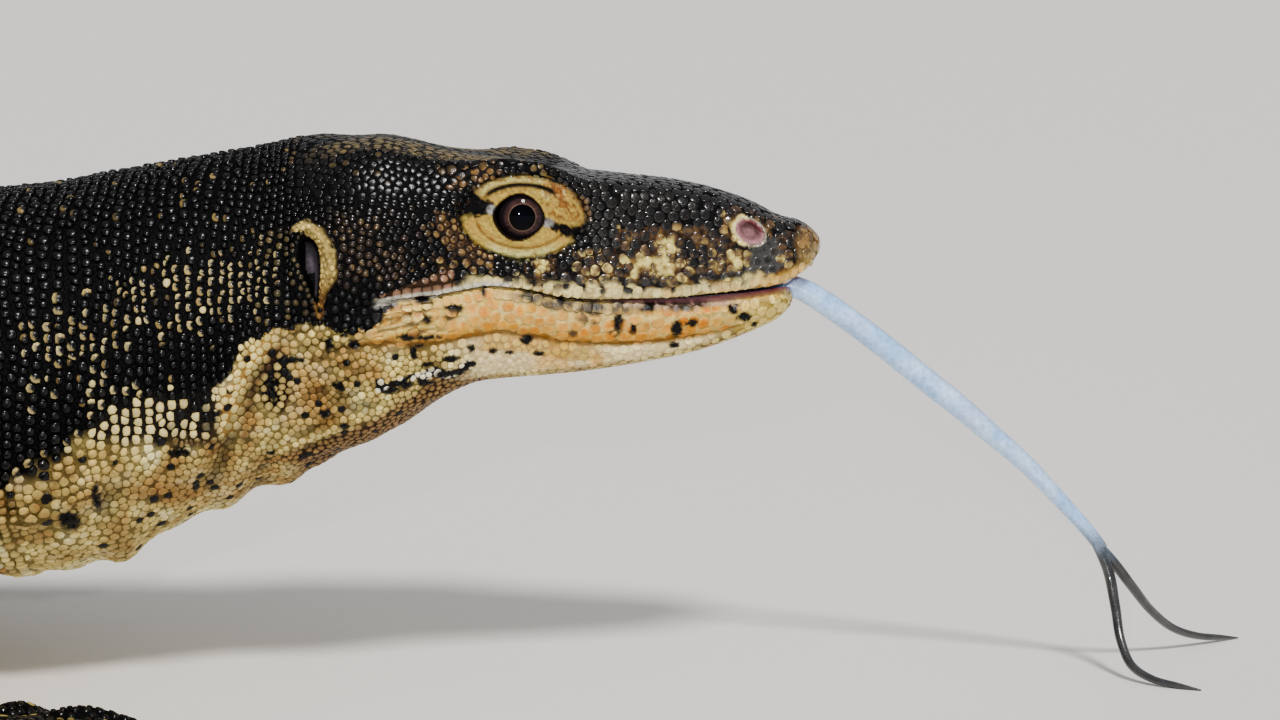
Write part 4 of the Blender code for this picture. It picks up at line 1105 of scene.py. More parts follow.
print("smooth outline: middle at", np.round(SHELL_MIDDLE[::104], 1).tolist(), "mm")

# %% Places on the legs
leg_tree = tree_of(np.concatenate([leg["path"] for leg in legs]))
leg_radius = np.concatenate([leg["radius"] for leg in legs])
leg_owner = np.repeat(np.arange(len(legs)), LEG_RINGS)
leg_share = np.tile(np.arange(LEG_RINGS) / (LEG_RINGS - 1), len(legs))


def leg_places(points):
    """Nearest leg, share of the way down it and distance from its middle over its radius."""
    found = [leg_tree.find(p) for p in points.tolist()]
    index = np.array([f[1] for f in found])
    away = np.array([f[2] for f in found])
    return leg_owner[index], leg_share[index], away / leg_radius[index]


print(len(leg_radius), "places down the middle of the legs")

# %% Smooth joins between legs and trunk
JOIN_ROUNDS = 30
station, right, up = local_places(points)
_, beyond, _ = shell_places(station, right, up)
near_legs = (station > 190) & (station < 700)
closeness = np.full(len(points), 9.0)
closeness[near_legs] = leg_places(points[near_legs])[2]
weight = (1 - ease(1.15, 1.9, closeness)) * (1 - ease(3, 12, np.abs(beyond))) * 0.6
points = relaxed(points, triangles, weight, JOIN_ROUNDS)
skin.data.vertices.foreach_set("co", to_world(points).astype(np.float32).ravel())
skin.data.update()
skin.data.shade_smooth()
low, high = points.min(0), points.max(0)
print("skin:", len(triangles), "triangles,", np.round(high - low, 1).tolist(), "mm across")

# %% [markdown]
# ## Markings
# A water monitor is black above with rows of yellow spots, and cream below. Its jaw is salmon with
# black blots, and a black stripe runs through the eye. A picture wrapped round the body would
# stretch on the legs, so the markings are rules: each place asks for its colours by its station and
# height, a smooth noise breaks up the borders, and the skin and the scales ask the same rules.

# %% Smooth noise and a paint box
def noise(points, size, seed=0):
    """Smooth random values from 0 to 1, in blobs about the given size in millimetres."""
    p = points / size + np.array([seed * 17.31, seed * 5.77, seed * 9.13]) + 1000.0
    cell = np.floor(p).astype(np.int64)
    f = p - cell
    f = f * f * (3 - 2 * f)
    total = np.zeros(len(p))
    for corner in itertools.product((0, 1), repeat=3):
        c = cell + np.array(corner)
        stirred = c[:, 0] * 73856093 ^ c[:, 1] * 19349663 ^ c[:, 2] * 83492791
        stirred = (stirred * 1103515245 + 12345) & 0x7FFFFFFF
        stirred = ((stirred ^ (stirred >> 13)) * 48271) & 0x7FFFFFFF
        value = ((stirred >> 7) & 0xFFFF) / 65535.0
        total += value * np.prod(np.where(np.array(corner) == 1, f, 1 - f), axis=1)
    return total


def tone(red, green, blue):
    """A colour for the shader from the 0 to 255 numbers of a colour chart."""
    value = np.array([red, green, blue]) / 255.0
    return np.where(value <= 0.04045, value / 12.92, ((value + 0.055) / 1.055) ** 2.4)


BLACK = tone(11, 11, 13)
JET = tone(5, 5, 7)
SOOT = tone(32, 28, 26)
UMBER = tone(54, 38, 26)
BROWN = tone(90, 66, 42)
AMBER = tone(140, 108, 60)
RUST = tone(160, 98, 44)
OLIVE = tone(112, 98, 56)
SAND = tone(172, 148, 92)
TAN = tone(176, 134, 76)
CREAM = tone(216, 196, 126)
YELLOW = tone(208, 178, 84)
CITRON = tone(198, 188, 118)
ORANGE = tone(212, 118, 16)
APRICOT = tone(218, 160, 44)
IVORY = tone(230, 219, 168)
LEMON = tone(192, 190, 116)
PEARL = tone(196, 194, 190)
SLATE = tone(78, 77, 76)
MAUVE = tone(146, 112, 110)
DRUM = tone(96, 92, 102)
CRIMSON = tone(150, 20, 40)
GUM = tone(196, 146, 158)


class Paint:
    """Colours of the cap, the rim and the gap of each scale, laid on one coat over another."""

    def __init__(self, count):
        self.cap = np.tile(BLACK, (count, 1))
        self.rim = np.tile(JET, (count, 1))
        self.gap = np.tile(JET, (count, 1))

    def coats(self, cap, rim, gap):
        """Each layer with its colour; where none is given, the rim is as the cap and the gap as the rim."""
        rim = cap if rim is None else rim
        return (self.cap, cap), (self.rim, rim), (self.gap, rim if gap is None else gap)

    def lay(self, where, cap, rim=None, gap=None):
        """Covers the chosen places."""
        for layer, colour in self.coats(cap, rim, gap):
            colour = np.asarray(colour)
            layer[where] = colour[where] if colour.ndim == 2 else colour

    def wash(self, share, cap, rim=None, gap=None):
        """Covers every place by its share, from 0 to 1."""
        share = np.clip(np.asarray(share, float), 0, 1)[:, None]
        for layer, colour in self.coats(cap, rim, gap):
            layer += (colour - layer) * share


def mix(first, second, share):
    """A blend of two colours by a share."""
    return first + (np.asarray(second) - first) * np.asarray(share)[..., None]


def ladder(colours, share):
    """A colour between neighbours in a row of colours, for a share from 0 to 1."""
    at = np.linspace(0, 1, len(colours))
    return np.stack([np.interp(share, at, [c[k] for c in colours]) for k in range(3)], -1)


print("noise at three points:", np.round(noise(np.arange(9.0).reshape(3, 3), 2.0), 2).tolist())

# %% [markdown]
# ## Blots
# The black blots on the lips, jaw and throat are what makes this animal this one, so the larger ones
# are listed: station, height above the mouth, and half sizes along and up. The rest are noise.
# Bare numbers in the rules that follow are places of the same kind, read from the animal: the nostril
# is at station 16, the eye at 66, the corner of the mouth at 96, the ear at 110 and the vent at 660.

# %% Blots of the head
BLOTS = (
    (86.9, -1.0, 1.6, 0.8), (85.7, -5.1, 1.0, 1.0), (80.1, -3.0, 1.8, 0.8), (89.8, -8.9, 1.7, 0.8),
    (73.6, 0.6, 0.7, 1.1), (64.7, -10.1, 1.2, 1.1), (57.3, -1.6, 1.0, 0.8), (44.8, -6.6, 1.0, 1.8),
    (38.0, -3.6, 1.3, 1.0), (32.0, -8.3, 1.2, 1.9), (28.5, -7.2, 1.4, 0.9), (19.6, -4.4, 1.3, 1.1),
    (17.2, -6.4, 1.5, 1.2), (32.6, -12.4, 1.2, 0.7), (14.9, -8.3, 0.8, 0.6), (106.7, -10.2, 0.9, 1.5),
    (101.5, -10.2, 1.2, 1.2), (105.0, -19.5, 1.5, 1.0), (108.4, -25.8, 1.2, 1.0),
    (104.3, -28.8, 0.9, 0.9), (93.9, -20.6, 1.8, 0.9), (90.2, -19.7, 1.7, 0.8), (86.6, -19.2, 1.6, 0.9),
    (83.0, -17.6, 1.6, 0.9), (79.6, -17.2, 1.5, 0.8), (115.4, -13.6, 3.2, 0.9), (119.5, -20.0, 1.0, 3.0),
    (85.9, -8.9, 2.6, 0.6), (163.2, -48.6, 2.3, 2.4), (157.2, -43.0, 0.9, 3.6), (63.2, 2.3, 0.9, 0.8),
    (60.1, 3.8, 1.2, 0.9), (56.0, 1.4, 0.8, 0.7), (57.3, 4.6, 0.9, 0.8), (44.3, 2.3, 1.1, 0.8),
    (36.1, 1.2, 1.1, 0.7), (28.5, 2.9, 0.9, 0.7), (23.8, 2.5, 0.9, 0.7), (18.6, 9.3, 1.3, 0.7),
    (41.5, -8.4, 0.8, 1.2), (72.0, -12.6, 0.9, 0.7), (76.5, -11.8, 0.8, 0.9), (62.0, -13.4, 1.3, 0.5),
    (81.0, -14.1, 2.0, 0.6), (76.6, -15.4, 0.9, 0.8),
    (68.5, -13.0, 0.8, 0.5), (88.6, -13.0, 0.9, 0.8), (86.0, -15.1, 1.1, 0.5), (132.6, -26.0, 2.2, 2.6),
    (139.7, -27.2, 1.2, 1.3), (139.7, -33.9, 2.4, 0.9), (120.6, -35.3, 1.0, 0.6), (96.0, -4.8, 1.4, 0.8),
)
SMOKY = (
    (63.8, -0.7, 2.4, 1.2), (51.0, -4.6, 3.0, 2.6), (30.0, -3.4, 4.4, 1.2), (14.4, 5.2, 4.4, 4.4),
    (31.3, 1.0, 1.4, 0.8), (45.4, -8.6, 1.6, 1.4), (54.6, -9.0, 1.2, 0.8), (35.5, -2.6, 1.6, 0.9),
)


def inside_any(blots, s, up, rough):
    """How far a place lies inside one of the blots, from 0 to 1, with a rough edge."""
    depth = np.zeros(len(s))
    for station, height, half, tall in blots:
        away = np.hypot((s - station) / half, (up - height) / tall) + 0.8 * (rough - 0.5)
        depth = np.maximum(depth, ease(1.25, 0.85, away))
    return depth


print(len(BLOTS), "black blots and", len(SMOKY), "smoky ones")

# %% [markdown]
# ## Colours of the snout
# The snout is a mosaic of black, olive and cream plates above a cream lip. Noise climbs a ladder of
# colours from black to cream, and a few soft lights lift or darken it where the animal is paler or
# darker, because the single plates need no places of their own.

# %% Snout and upper lip
SNOUT_LIGHTS = (
    (37.5, 6.4, 6.2, 2.0, 0.44), (32.5, 10.2, 3.4, 1.5, 0.28), (24.0, 3.8, 6.5, 2.0, 0.26),
    (42.4, 11.2, 2.0, 1.2, 0.30), (18.2, 6.8, 2.2, 1.9, 0.34), (61.2, 5.0, 1.8, 2.8, 0.44),
    (46.0, 3.6, 8.0, 1.8, 0.26), (69.5, 6.6, 4.6, 3.0, -0.40), (77.0, 5.0, 3.0, 3.0, 0.14),
    (57.0, 6.0, 2.0, 2.5, -0.30), (50.0, 10.5, 3.6, 2.6, 0.12), (28.0, 8.6, 3.4, 1.6, -0.22),
)
SNOUT_STEPS = (JET, BLACK, UMBER, BROWN, mix(AMBER, OLIVE, 0.5), mix(SAND, LEMON, 0.4),
               mix(CREAM, LEMON, 0.5), CREAM)
SNOUT_BLACK_LINE = ((0, 10.0), (5.4, 11.0), (10, 14.6), (14, 17.2), (20, 16.0), (25, 13.4), (36, 13.0),
                    (45, 12.0), (50, 8.5), (56, 8.0))


def paint_snout(made, s, up, places, dice):
    """Snout, lips and the region below the eye: dark mosaic with cream and amber patches."""
    lip_gap = up - smooth(LIP_UP, s)
    finest, fine, coarse = noise(places, 0.6, 23), noise(places, 1.3, 1), noise(places, 3.6, 2)
    top = line(SNOUT_BLACK_LINE, s) + (dice - 0.5) * 1.6 + (coarse - 0.5) * 4.0
    top = np.where(s < 58, top, 9.0 + (dice - 0.5) * 2)
    side = (up < top) & (s < 90) & (lip_gap > -0.2)
    light = 0.27 + 0.5 * (coarse - 0.5) + 0.5 * (dice - 0.5) + 0.45 * (fine - 0.5) + 0.4 * (finest - 0.5)
    for station, height, half, tall, gain in SNOUT_LIGHTS:
        light += gain * near(s - station, half) * near(up - height, tall) * (0.3 + 0.6 * fine + 0.5 * dice)
    light -= 0.26 * ease(64, 74, s) * ease(-1, 1, lip_gap)
    pale_rim = 0.34 * ease(11.5, 7.5, up) * ease(0.5, 0.8, finest) - 0.06
    made.lay(side, ladder(SNOUT_STEPS, light), ladder(SNOUT_STEPS, light + pale_rim),
             ladder(SNOUT_STEPS, light * (0.66 + 0.36 * coarse)))
    black = ~side & (s < 60) & (lip_gap > 0)
    made.lay(black, mix(JET, SOOT, 0.15 * fine), mix(JET, UMBER, 0.4 * finest), JET)
    nose = np.hypot((s - 12.6) / 3.9, (up - 6.0) / 4.4) + 1.4 * (coarse - 0.5) + 1.1 * (dice - 0.5)
    nose = ease(1.2, 0.8, nose) * (lip_gap > 0)
    made.wash(nose, mix(JET, SOOT, dice), mix(SOOT, SLATE, 0.4 + 0.6 * finest), SLATE * 0.8)
    bluff = ease(6.6, 3.6, s + 2.4 * (coarse - 0.5)) * ease(13.5, 12, up)
    under_bluff = ease(11, 7, s + 2 * (fine - 0.5)) * ease(4.6, 2.8, up + 1.2 * (coarse - 0.5))
    olive = mix(mix(UMBER, TAN, 0.9 * fine), mix(SAND, CREAM, finest), ease(10, 4, up) * 0.7)
    olive = mix(olive, UMBER, 0.8 * ease(0.55, 0.8, 0.5 * finest + 0.5 * dice))
    made.wash(bluff, olive, mix(olive, SAND, 0.5 * finest), olive * 0.6)
    made.wash(under_bluff, mix(TAN, APRICOT, fine), mix(SAND, APRICOT, finest))
    spots = ease(0.55, 0.63, 0.7 * noise(places, 1.3, 22) + 0.3 * dice)
    spots *= ease(0.7, 1.3, lip_gap) * ease(5.4, 4.0, lip_gap) * ease(15, 19, s) * ease(76, 68, s)
    ragged = 3.0 * (coarse - 0.5) + 1.6 * (fine - 0.5) + 1.2 * (dice - 0.5)
    ragged = ragged * ease(0.2, 1.2, lip_gap) + 1.3 * ease(50, 64, s)
    lip = ease(3.6, 1.6, lip_gap + ragged) * (lip_gap > -0.3)
    lip *= ease(2, 4, s) * ease(82, 78, s)
    warm = np.maximum(0.6 * ease(17, 11, s), 0.35 * ease(0.5, 0.8, coarse))
    lip_tone = mix(mix(CREAM, IVORY, 0.3 + 0.5 * fine), APRICOT, warm)
    lip_tone = mix(lip_tone, mix(SAND, TAN, dice), 0.7 * ease(0.45, 0.75, 0.5 * fine + 0.5 * finest))
    made.wash(lip, lip_tone, lip_tone * 0.96, lip_tone * 0.84)
    made.wash(spots, mix(BLACK, SLATE, 0.6 * fine), SOOT, SOOT)
    streak = (lip_gap > 0.9) & (lip_gap < 4.4 - 0.25 * (s - 84)) & (s > 80) & (s < 97)
    made.lay(streak, mix(BROWN, mix(TAN, GUM * 0.8, finest), 0.3 + 0.7 * fine), BROWN, UMBER)
    white = ease(-0.8, -0.5, lip_gap) * ease(1.1, 0.7, lip_gap) * ease(66, 70, s) * ease(98, 95, s)
    made.wash(white, mix(PEARL, IVORY, 0.4 * fine))


print(len(SNOUT_STEPS), "steps of colour on the snout")

# %% [markdown]
# ## Colours of the lids, nostril and ear
# The lids are golden with brown pleats, a black stripe leads into the eye and out of it, the nostril
# has a cream ring and the ear a sandy lobe. Each of them has a measure that is 1 at its edge, so a
# band of colour is a range of that measure, made rough by noise.

# %% Lids
def paint_lids(made, s, out, up, places, dice):
    """Golden lids with their pleats and spots, and painted shade in their creases."""
    _, ahead, above = eye_share(s, up)
    lids = lid_share(s, up)
    fine, finest = noise(places, 1.5, 3), noise(places, 0.45, 16)
    at_side = out > 12
    ring = at_side * ease(1.08, 0.99, lids + 0.16 * (fine - 0.5) + 0.10 * (dice - 0.5))
    gold = mix(TAN, mix(YELLOW, LEMON, 0.5), 0.2 + 0.8 * fine)
    gold = mix(gold, mix(RUST, TAN, fine), 0.6 * ease(0.5, 0.8, 0.6 * finest + 0.4 * fine))
    low_pale = ease(0.78, 0.86, lids) * ease(-2.5, -4.5, above) * ease(8.5, 5.5, np.abs(ahead - 1.5))
    high_pale = ease(0.80, 0.86, lids) * ease(1.5, 4.0, above) * ease(5.5, 3, ahead)
    gold = mix(gold, mix(LEMON, IVORY, 0.6 * finest), np.maximum(0.9 * low_pale, 0.6 * high_pale))
    # A painted highlight of ivory on the front of the upper lid's top.
    painted_highlight = ease(1.5, 4, ahead) * ease(3.5, 5, above) * ease(0.45, 0.6, fine)
    gold = mix(gold, IVORY, 0.6 * painted_highlight)
    made.wash(ring, gold * 0.93, gold * 0.93, gold * 0.8)
    smudges = ease(0.42, 0.66, 0.5 * fine + 0.5 * finest) * ease(-3, 2, above)
    smudges *= 0.5 + 0.4 * ease(2, 6, ahead)
    made.wash(ring * smudges, mix(BROWN, AMBER, fine))
    rim = ease(0.86, 1.0, lids + 0.2 * (fine - 0.5)) * ease(0.35, 0.7, finest + 0.3 * ease(3, 7, ahead))
    made.wash(ring * rim * 0.7 * ease(-4, 0, above), mix(UMBER, AMBER, finest))
    pleats = ease(0.4, 0.95, np.sin(lids * 42 + 7 * fine)) * ease(0.62, 0.7, lids)
    made.wash(ring * pleats * 0.34, mix(BROWN, RUST, finest))
    spots = ease(5.0, 7.0, ahead) * ease(0.5, 1.5, above) * ease(0.40, 0.62, 0.6 * fine + 0.4 * finest)
    spots = np.maximum(spots, ease(3, 5, ahead) * ease(-4.5, -6, above) * ease(0.55, 0.8, fine))
    made.wash(ring * spots * 0.8, mix(RUST, BROWN, finest))
    # Painted shade: dark lines lie in the sunk creases of the upper and lower lids.
    crease = near(lids - 0.80, 0.050) * ease(1.0, 2.0, above) * ease(8.2, 6.2, np.abs(ahead + 0.3))
    made.wash(ring * crease * 1.5, UMBER * 0.5)
    crease = near(lids - 0.76, 0.020) * ease(-2, -3.5, above)
    made.wash(ring * crease * 0.7, mix(BROWN, RUST, finest))


print("share of the lids at the eye's front corner:", round(float(lid_share(EYE_STATION - 6.2, EYE_UP)), 2))


# %% Round the lids, and the stripe through the eye
def paint_eye_stripe(made, s, out, up, places, dice):
    """Streaks round the lids, the black stripe, the corners of the eye, the edge of the opening, and a
    black line of painted shade in the crease round the lids.
    """
    opening, ahead, above = eye_share(s, up)
    lids = lid_share(s, up)
    fine, finest = noise(places, 1.5, 3), noise(places, 0.45, 16)
    at_side = out > 12
    outer = at_side & (lids >= 1.0) & (lids < 1.33 + 0.2 * dice)
    # Painted shade: a black line in the sunk crease round the lids.
    made.wash(at_side * near(lids - 1.05, 0.025) * ease(0.7, 0.4, fine), JET)
    streaks = np.sin(lids * 34 + 2 * fine) > 0.1
    back_low = outer & (ahead < -4) & (above < -1) & (lids > 1.06)
    made.lay(back_low, UMBER, BROWN, SOOT)
    made.lay(back_low & streaks, mix(BROWN, mix(AMBER, SAND, finest), fine), BROWN, UMBER)
    over = outer * ease(-5.5, -7.0, ahead) * ease(3.8, 5.0, above) * ease(0.45, 0.65, fine + 0.3 * dice)
    made.wash(over, mix(UMBER, mix(AMBER, TAN, dice), 0.2 + 0.8 * finest), BROWN, SOOT)
    before = outer & (ahead > 7) & (above > 1.5) & (above < 6) & (lids < 1.12) & (dice > 0.3)
    made.lay(before, mix(BROWN, AMBER, fine), BROWN, UMBER)
    rough = 1.3 * (fine - 0.5) + 1.1 * (finest - 0.5)
    front = np.abs(above + 0.9 + 0.16 * (ahead - 6)) - (ahead - 6.4) * 0.22 - 0.25
    stripe = ease(0.5, -0.3, front + rough) * ease(6.2, 6.8, ahead)
    rear = np.abs(above - 1.3 - 0.1 * (-ahead - 6)) - (-ahead - 5.4) * 0.42 - 0.5
    stripe = np.maximum(stripe, ease(0.5, -0.3, rear + rough) * ease(5.2, 5.8, -ahead))
    made.wash(stripe * at_side * (lids < 1.2), mix(JET, UMBER, ease(0.6, 0.9, finest)))
    corner = np.minimum(np.hypot((ahead - 6.2) / 1.6, (above + 0.5) / 1.1),
                        np.hypot((ahead + 6.0) / 1.2, (above - 0.9) / 1.2))
    made.wash(at_side * ease(1.1, 0.7, corner + 0.3 * (finest - 0.5)), mix(SLATE, PEARL, 0.7 * finest))
    made.wash(at_side * ease(1.11, 1.06, opening) * (opening > 0.9), UMBER * 0.4)
    made.lay(at_side & (opening < 0.96), JET)


print("opening of the eye:", EYE_OPENING, "mm in half sizes")


# %% Nostril and ear
def paint_nostril(made, s, out, up, places):
    """A cream ring, a pale edge and a dark red pit, painted darker in its deep middle and under its upper
    rim as painted shade.
    """
    fine, finest = noise(places, 1.5, 3), noise(places, 0.45, 16)
    nostril, beside = nostril_share(s, up)
    near_nose = (out > 5) & (s < 26)
    halo = near_nose * ease(1.50, 1.28, nostril + 0.5 * (fine - 0.5) + 0.62 * ease(17.5, 15, s))
    made.wash(halo, mix(CREAM, LEMON, fine), CREAM, SAND)
    made.wash(near_nose * near(nostril - 1.18, 0.06) * 0.6, mix(PEARL, IVORY, fine))
    # Painted shade: the pit is darker in its deep middle and lighter on its walls.
    pit = mix(MAUVE, GUM, 0.2 * finest + 0.25 * ease(0.4, 0.9, nostril))
    pit *= (0.68 + 0.4 * ease(0.25, 0.7, nostril))[:, None]
    made.wash(near_nose * ease(1.10, 1.02, nostril), pit)
    # Painted shadow of dark crimson under the upper rim of the pit.
    made.wash(near_nose * ease(1.08, 1.0, nostril) * ease(0.9, 1.4, beside) * 0.6, CRIMSON * 0.45)


def paint_ear(made, s, out, up, places, dice):
    """A sandy lobe in front of the ear, its black edge and the grey drum inside."""
    fine, finest = noise(places, 1.5, 3), noise(places, 0.45, 16)
    ear, front, high = ear_share(s, up)
    beyond_ear = np.hypot(front, high) * (1 - 1 / np.maximum(ear, 0.2))
    at_ear = (out > 18) & (ear > 1.0)
    lobe = ease(4.2, 3.2, beyond_ear + 1.2 * (fine - 0.5)) * at_ear
    lobe *= ease(-1.0, -0.2, front + 0.9 * np.maximum(high - 4, 0))
    lobe_tone = mix(mix(SAND, CREAM, fine), mix(BROWN, TAN, fine), ease(0, -7, high))
    lobe_tone = mix(lobe_tone, mix(RUST, BROWN, finest), 0.6 * ease(0.6, 0.85, finest))
    made.wash(lobe, lobe_tone, lobe_tone * 0.95, lobe_tone * 0.7)
    made.lay(at_ear & (lobe > 0.5) & (dice < 0.08), BLACK)
    made.lay((out > 16) & (ear < 1.05), JET)
    made.wash((out > 16) * ease(0.90, 0.70, ear), mix(DRUM, MAUVE, 0.2 * finest) * 0.8)


print("nostril", NOSTRIL_SIZE, "and ear", EAR_SIZE, "mm in half sizes")

# %% [markdown]
# ## Colours of the crown
# The top of the head is black with a worn patch of olive and sand between the brows. The patch is a
# wash whose share fades at the brows and towards the snout and nape, so it has no hard border.

# %% Crown and temples
def paint_crown(made, s, out, up, places, dice):
    """Top of the head and the temples."""
    finest, fine, coarse = noise(places, 0.7, 24), noise(places, 1.6, 4), noise(places, 6.0, 5)
    brow = smooth(BROW_OUT, s)
    temple = (out > 14) & (s > 78) & (s < 118)
    made.lay(temple, mix(BLACK, SOOT, finest * dice), JET, JET)
    crown = ease(brow - 0.6, brow - 2.8, out + 1.6 * (dice - 0.5)) * ease(20, 22, up)
    crown *= ease(56, 66, s + 14 * (coarse - 0.5) + 5 * (fine - 0.5) - 0.5 * (14 - out))
    crown *= ease(112, 94, s + 16 * (coarse - 0.5) + 8 * (dice - 0.5))
    crown *= ease(0.25, 0.60, 0.5 * coarse + 0.3 * fine + 0.3 * dice + 0.045 * (out - 7))
    tan = mix(mix(OLIVE, SAND, 0.75 * fine), AMBER, 0.35 * coarse) * 0.9
    tan = mix(tan, mix(SOOT, UMBER, finest), ease(0.58, 0.72, 0.6 * fine + 0.4 * finest) * 0.85)
    made.wash(crown, tan, mix(SOOT, OLIVE, 0.7 * fine), SOOT)
    made.wash(crown * (dice < 0.16), mix(SOOT, UMBER, fine))
    ridge = (np.abs(out - brow) < 2.6) & (up > 21) & (s > 60) & (s < 84) & (dice < 0.25)
    made.lay(ridge, mix(UMBER, OLIVE, fine), UMBER, SOOT)
    nape = (s > 92) & (s < 118) & (up > 24) & (dice < 0.14)
    made.lay(nape, mix(UMBER, OLIVE, 0.6 * fine), SOOT, JET)
    faded = (out > 17) * ease(82, 88, s) * ease(109, 105, s) * ease(1, 5, up) * ease(20, 13, up)
    faded *= ease(0.30, 0.55, 0.6 * coarse + 0.4 * dice)
    made.wash(faded, mix(SOOT, UMBER, 0.3 + 0.7 * finest), mix(SOOT, UMBER, fine), JET)
    made.wash(faded * (finest + 0.4 * dice > 0.98) * 0.7, mix(OLIVE, SAND, 0.4 * fine), BROWN, SOOT)


print("brow", round(float(smooth(BROW_OUT, EYE_STATION)), 1), "mm out above the eye")

# %% [markdown]
# ## Colours of jaw and throat
# The lower jaw is salmon above its groove and ivory below, with a rust line of painted shade in the
# groove. The throat is cream, with painted shade beside its folds and painted highlights on their
# ridges, and black marks lie over all of it. The marks come last, so that they cover every colour
# under them.

# %% Throat
VENT = 660
CREAM_LINE = ((92, -1.6), (95, -4.0), (98, -7.4), (105, -7.6), (108, -5.4), (112, -5.4),
              (120.5, -7.6), (125.7, -11.3), (128, -17.1), (133, -20.6), (149.5, -21.6),
              (153, -23.6), (165.6, -35.2), (185, -44), (215, -50), (360, -54), (500, -55),
              (560, -52), (640, -47))


def paint_throat(made, s, up, low, grains, dice):
    """The cream ground of jaw, throat and neck, with the strings and pouch of the throat, and painted shade
    and highlights at its folds.
    """
    finest, fine, coarse, broad, _ = grains
    throat_up = smooth(THROAT_UP, np.minimum(s, HEAD_LENGTH))
    light = 0.68 + 0.4 * (fine - 0.5) + 0.7 * (coarse - 0.5) + 0.24 * (dice - 0.5) + 0.2 * (finest - 0.5)
    pale = ladder((BROWN, TAN, SAND, CREAM, IVORY), light)
    pale = mix(pale, mix(AMBER, RUST, 0.6 * finest), 0.5 * ease(0.54, 0.74, broad + 0.2 * (dice - 0.5)))
    made.lay(low, pale, pale * 0.9, mix(pale * 0.4, OLIVE, 0.2))
    strings = low & (s > 131) & (s < 157) & (up > -31 + 2 * (fine - 0.5))
    made.lay(strings, mix(SAND, IVORY, 0.2 + 0.6 * fine), mix(OLIVE, CREAM, fine), SOOT)
    made.lay(strings & (dice + 0.7 * coarse < 0.44), BLACK, JET, JET)
    net = ease(1.15, 0.85, np.hypot((s - 118.3) / 4.2, (up + 19.5) / 6.8) + 0.6 * (coarse - 0.5)) * low
    made.wash(net, mix(SAND, CREAM, dice), mix(UMBER, SAND, fine), JET)
    made.wash(net * (dice < 0.16), mix(SOOT, BROWN, fine), SOOT, JET)
    # Painted shade in brown in the crease in front of the neck fold, and a painted highlight of ivory on
    # its ridge.
    ridge = s - line(((-32, 129.6), (-20, 127.0), (-10, 120.6)), up)
    made.wash(low * near(ridge + 3.6, 1.1) * ease(-34, -30, up) * ease(-9, -12, up) * 0.9,
              mix(UMBER, RUST, 0.6 * finest), UMBER, UMBER)
    made.wash(low * near(ridge, 2.0) * ease(-33, -29, up) * 0.8, mix(IVORY, CREAM, fine), CREAM, TAN)
    made.wash(low * near(up + 31.5, 0.9) * near(s - 136, 8), BROWN, UMBER, UMBER)
    for station, height, half, tall in ((111.8, -21, 3.4, 5.0), (124, -27.6, 2.6, 3.0), (146, -43, 8, 3)):
        flush = near(s - station, half) * near(up - height, tall) * (0.3 + fine)
        made.wash(low * flush, mix(TAN, BROWN, 0.2 + 0.6 * finest), TAN, BROWN)
    # Painted highlight of ivory along the ridge of the fold under the jaw, and a painted shadow in brown
    # below it.
    fold = up - line(((102, -29.8), (112, -32.2), (121, -34.8)), s)
    along = low * ease(98, 103, s) * ease(125, 120, s)
    made.wash(along * near(fold + 2.6, 1.0) * 0.8, mix(TAN, RUST, fine), BROWN, UMBER)
    made.wash(along * near(fold, 1.2) * 0.8, mix(IVORY, CREAM, fine), CREAM, SAND)
    pouch = low * ease(70, 76, s) * ease(120, 112, s) * ease(throat_up + 8, throat_up + 5.5, up)
    pleat = 0.5 + 0.5 * np.sin(s * 4.2 + 0.9 * up + 3 * fine)
    made.wash(pouch, mix(mix(BROWN, TAN, 0.3 + 0.7 * fine), SAND, 0.5 * pleat), BROWN, UMBER)


print("cream line at the ear:", line(CREAM_LINE, EAR_STATION), "mm from the mouth's level")


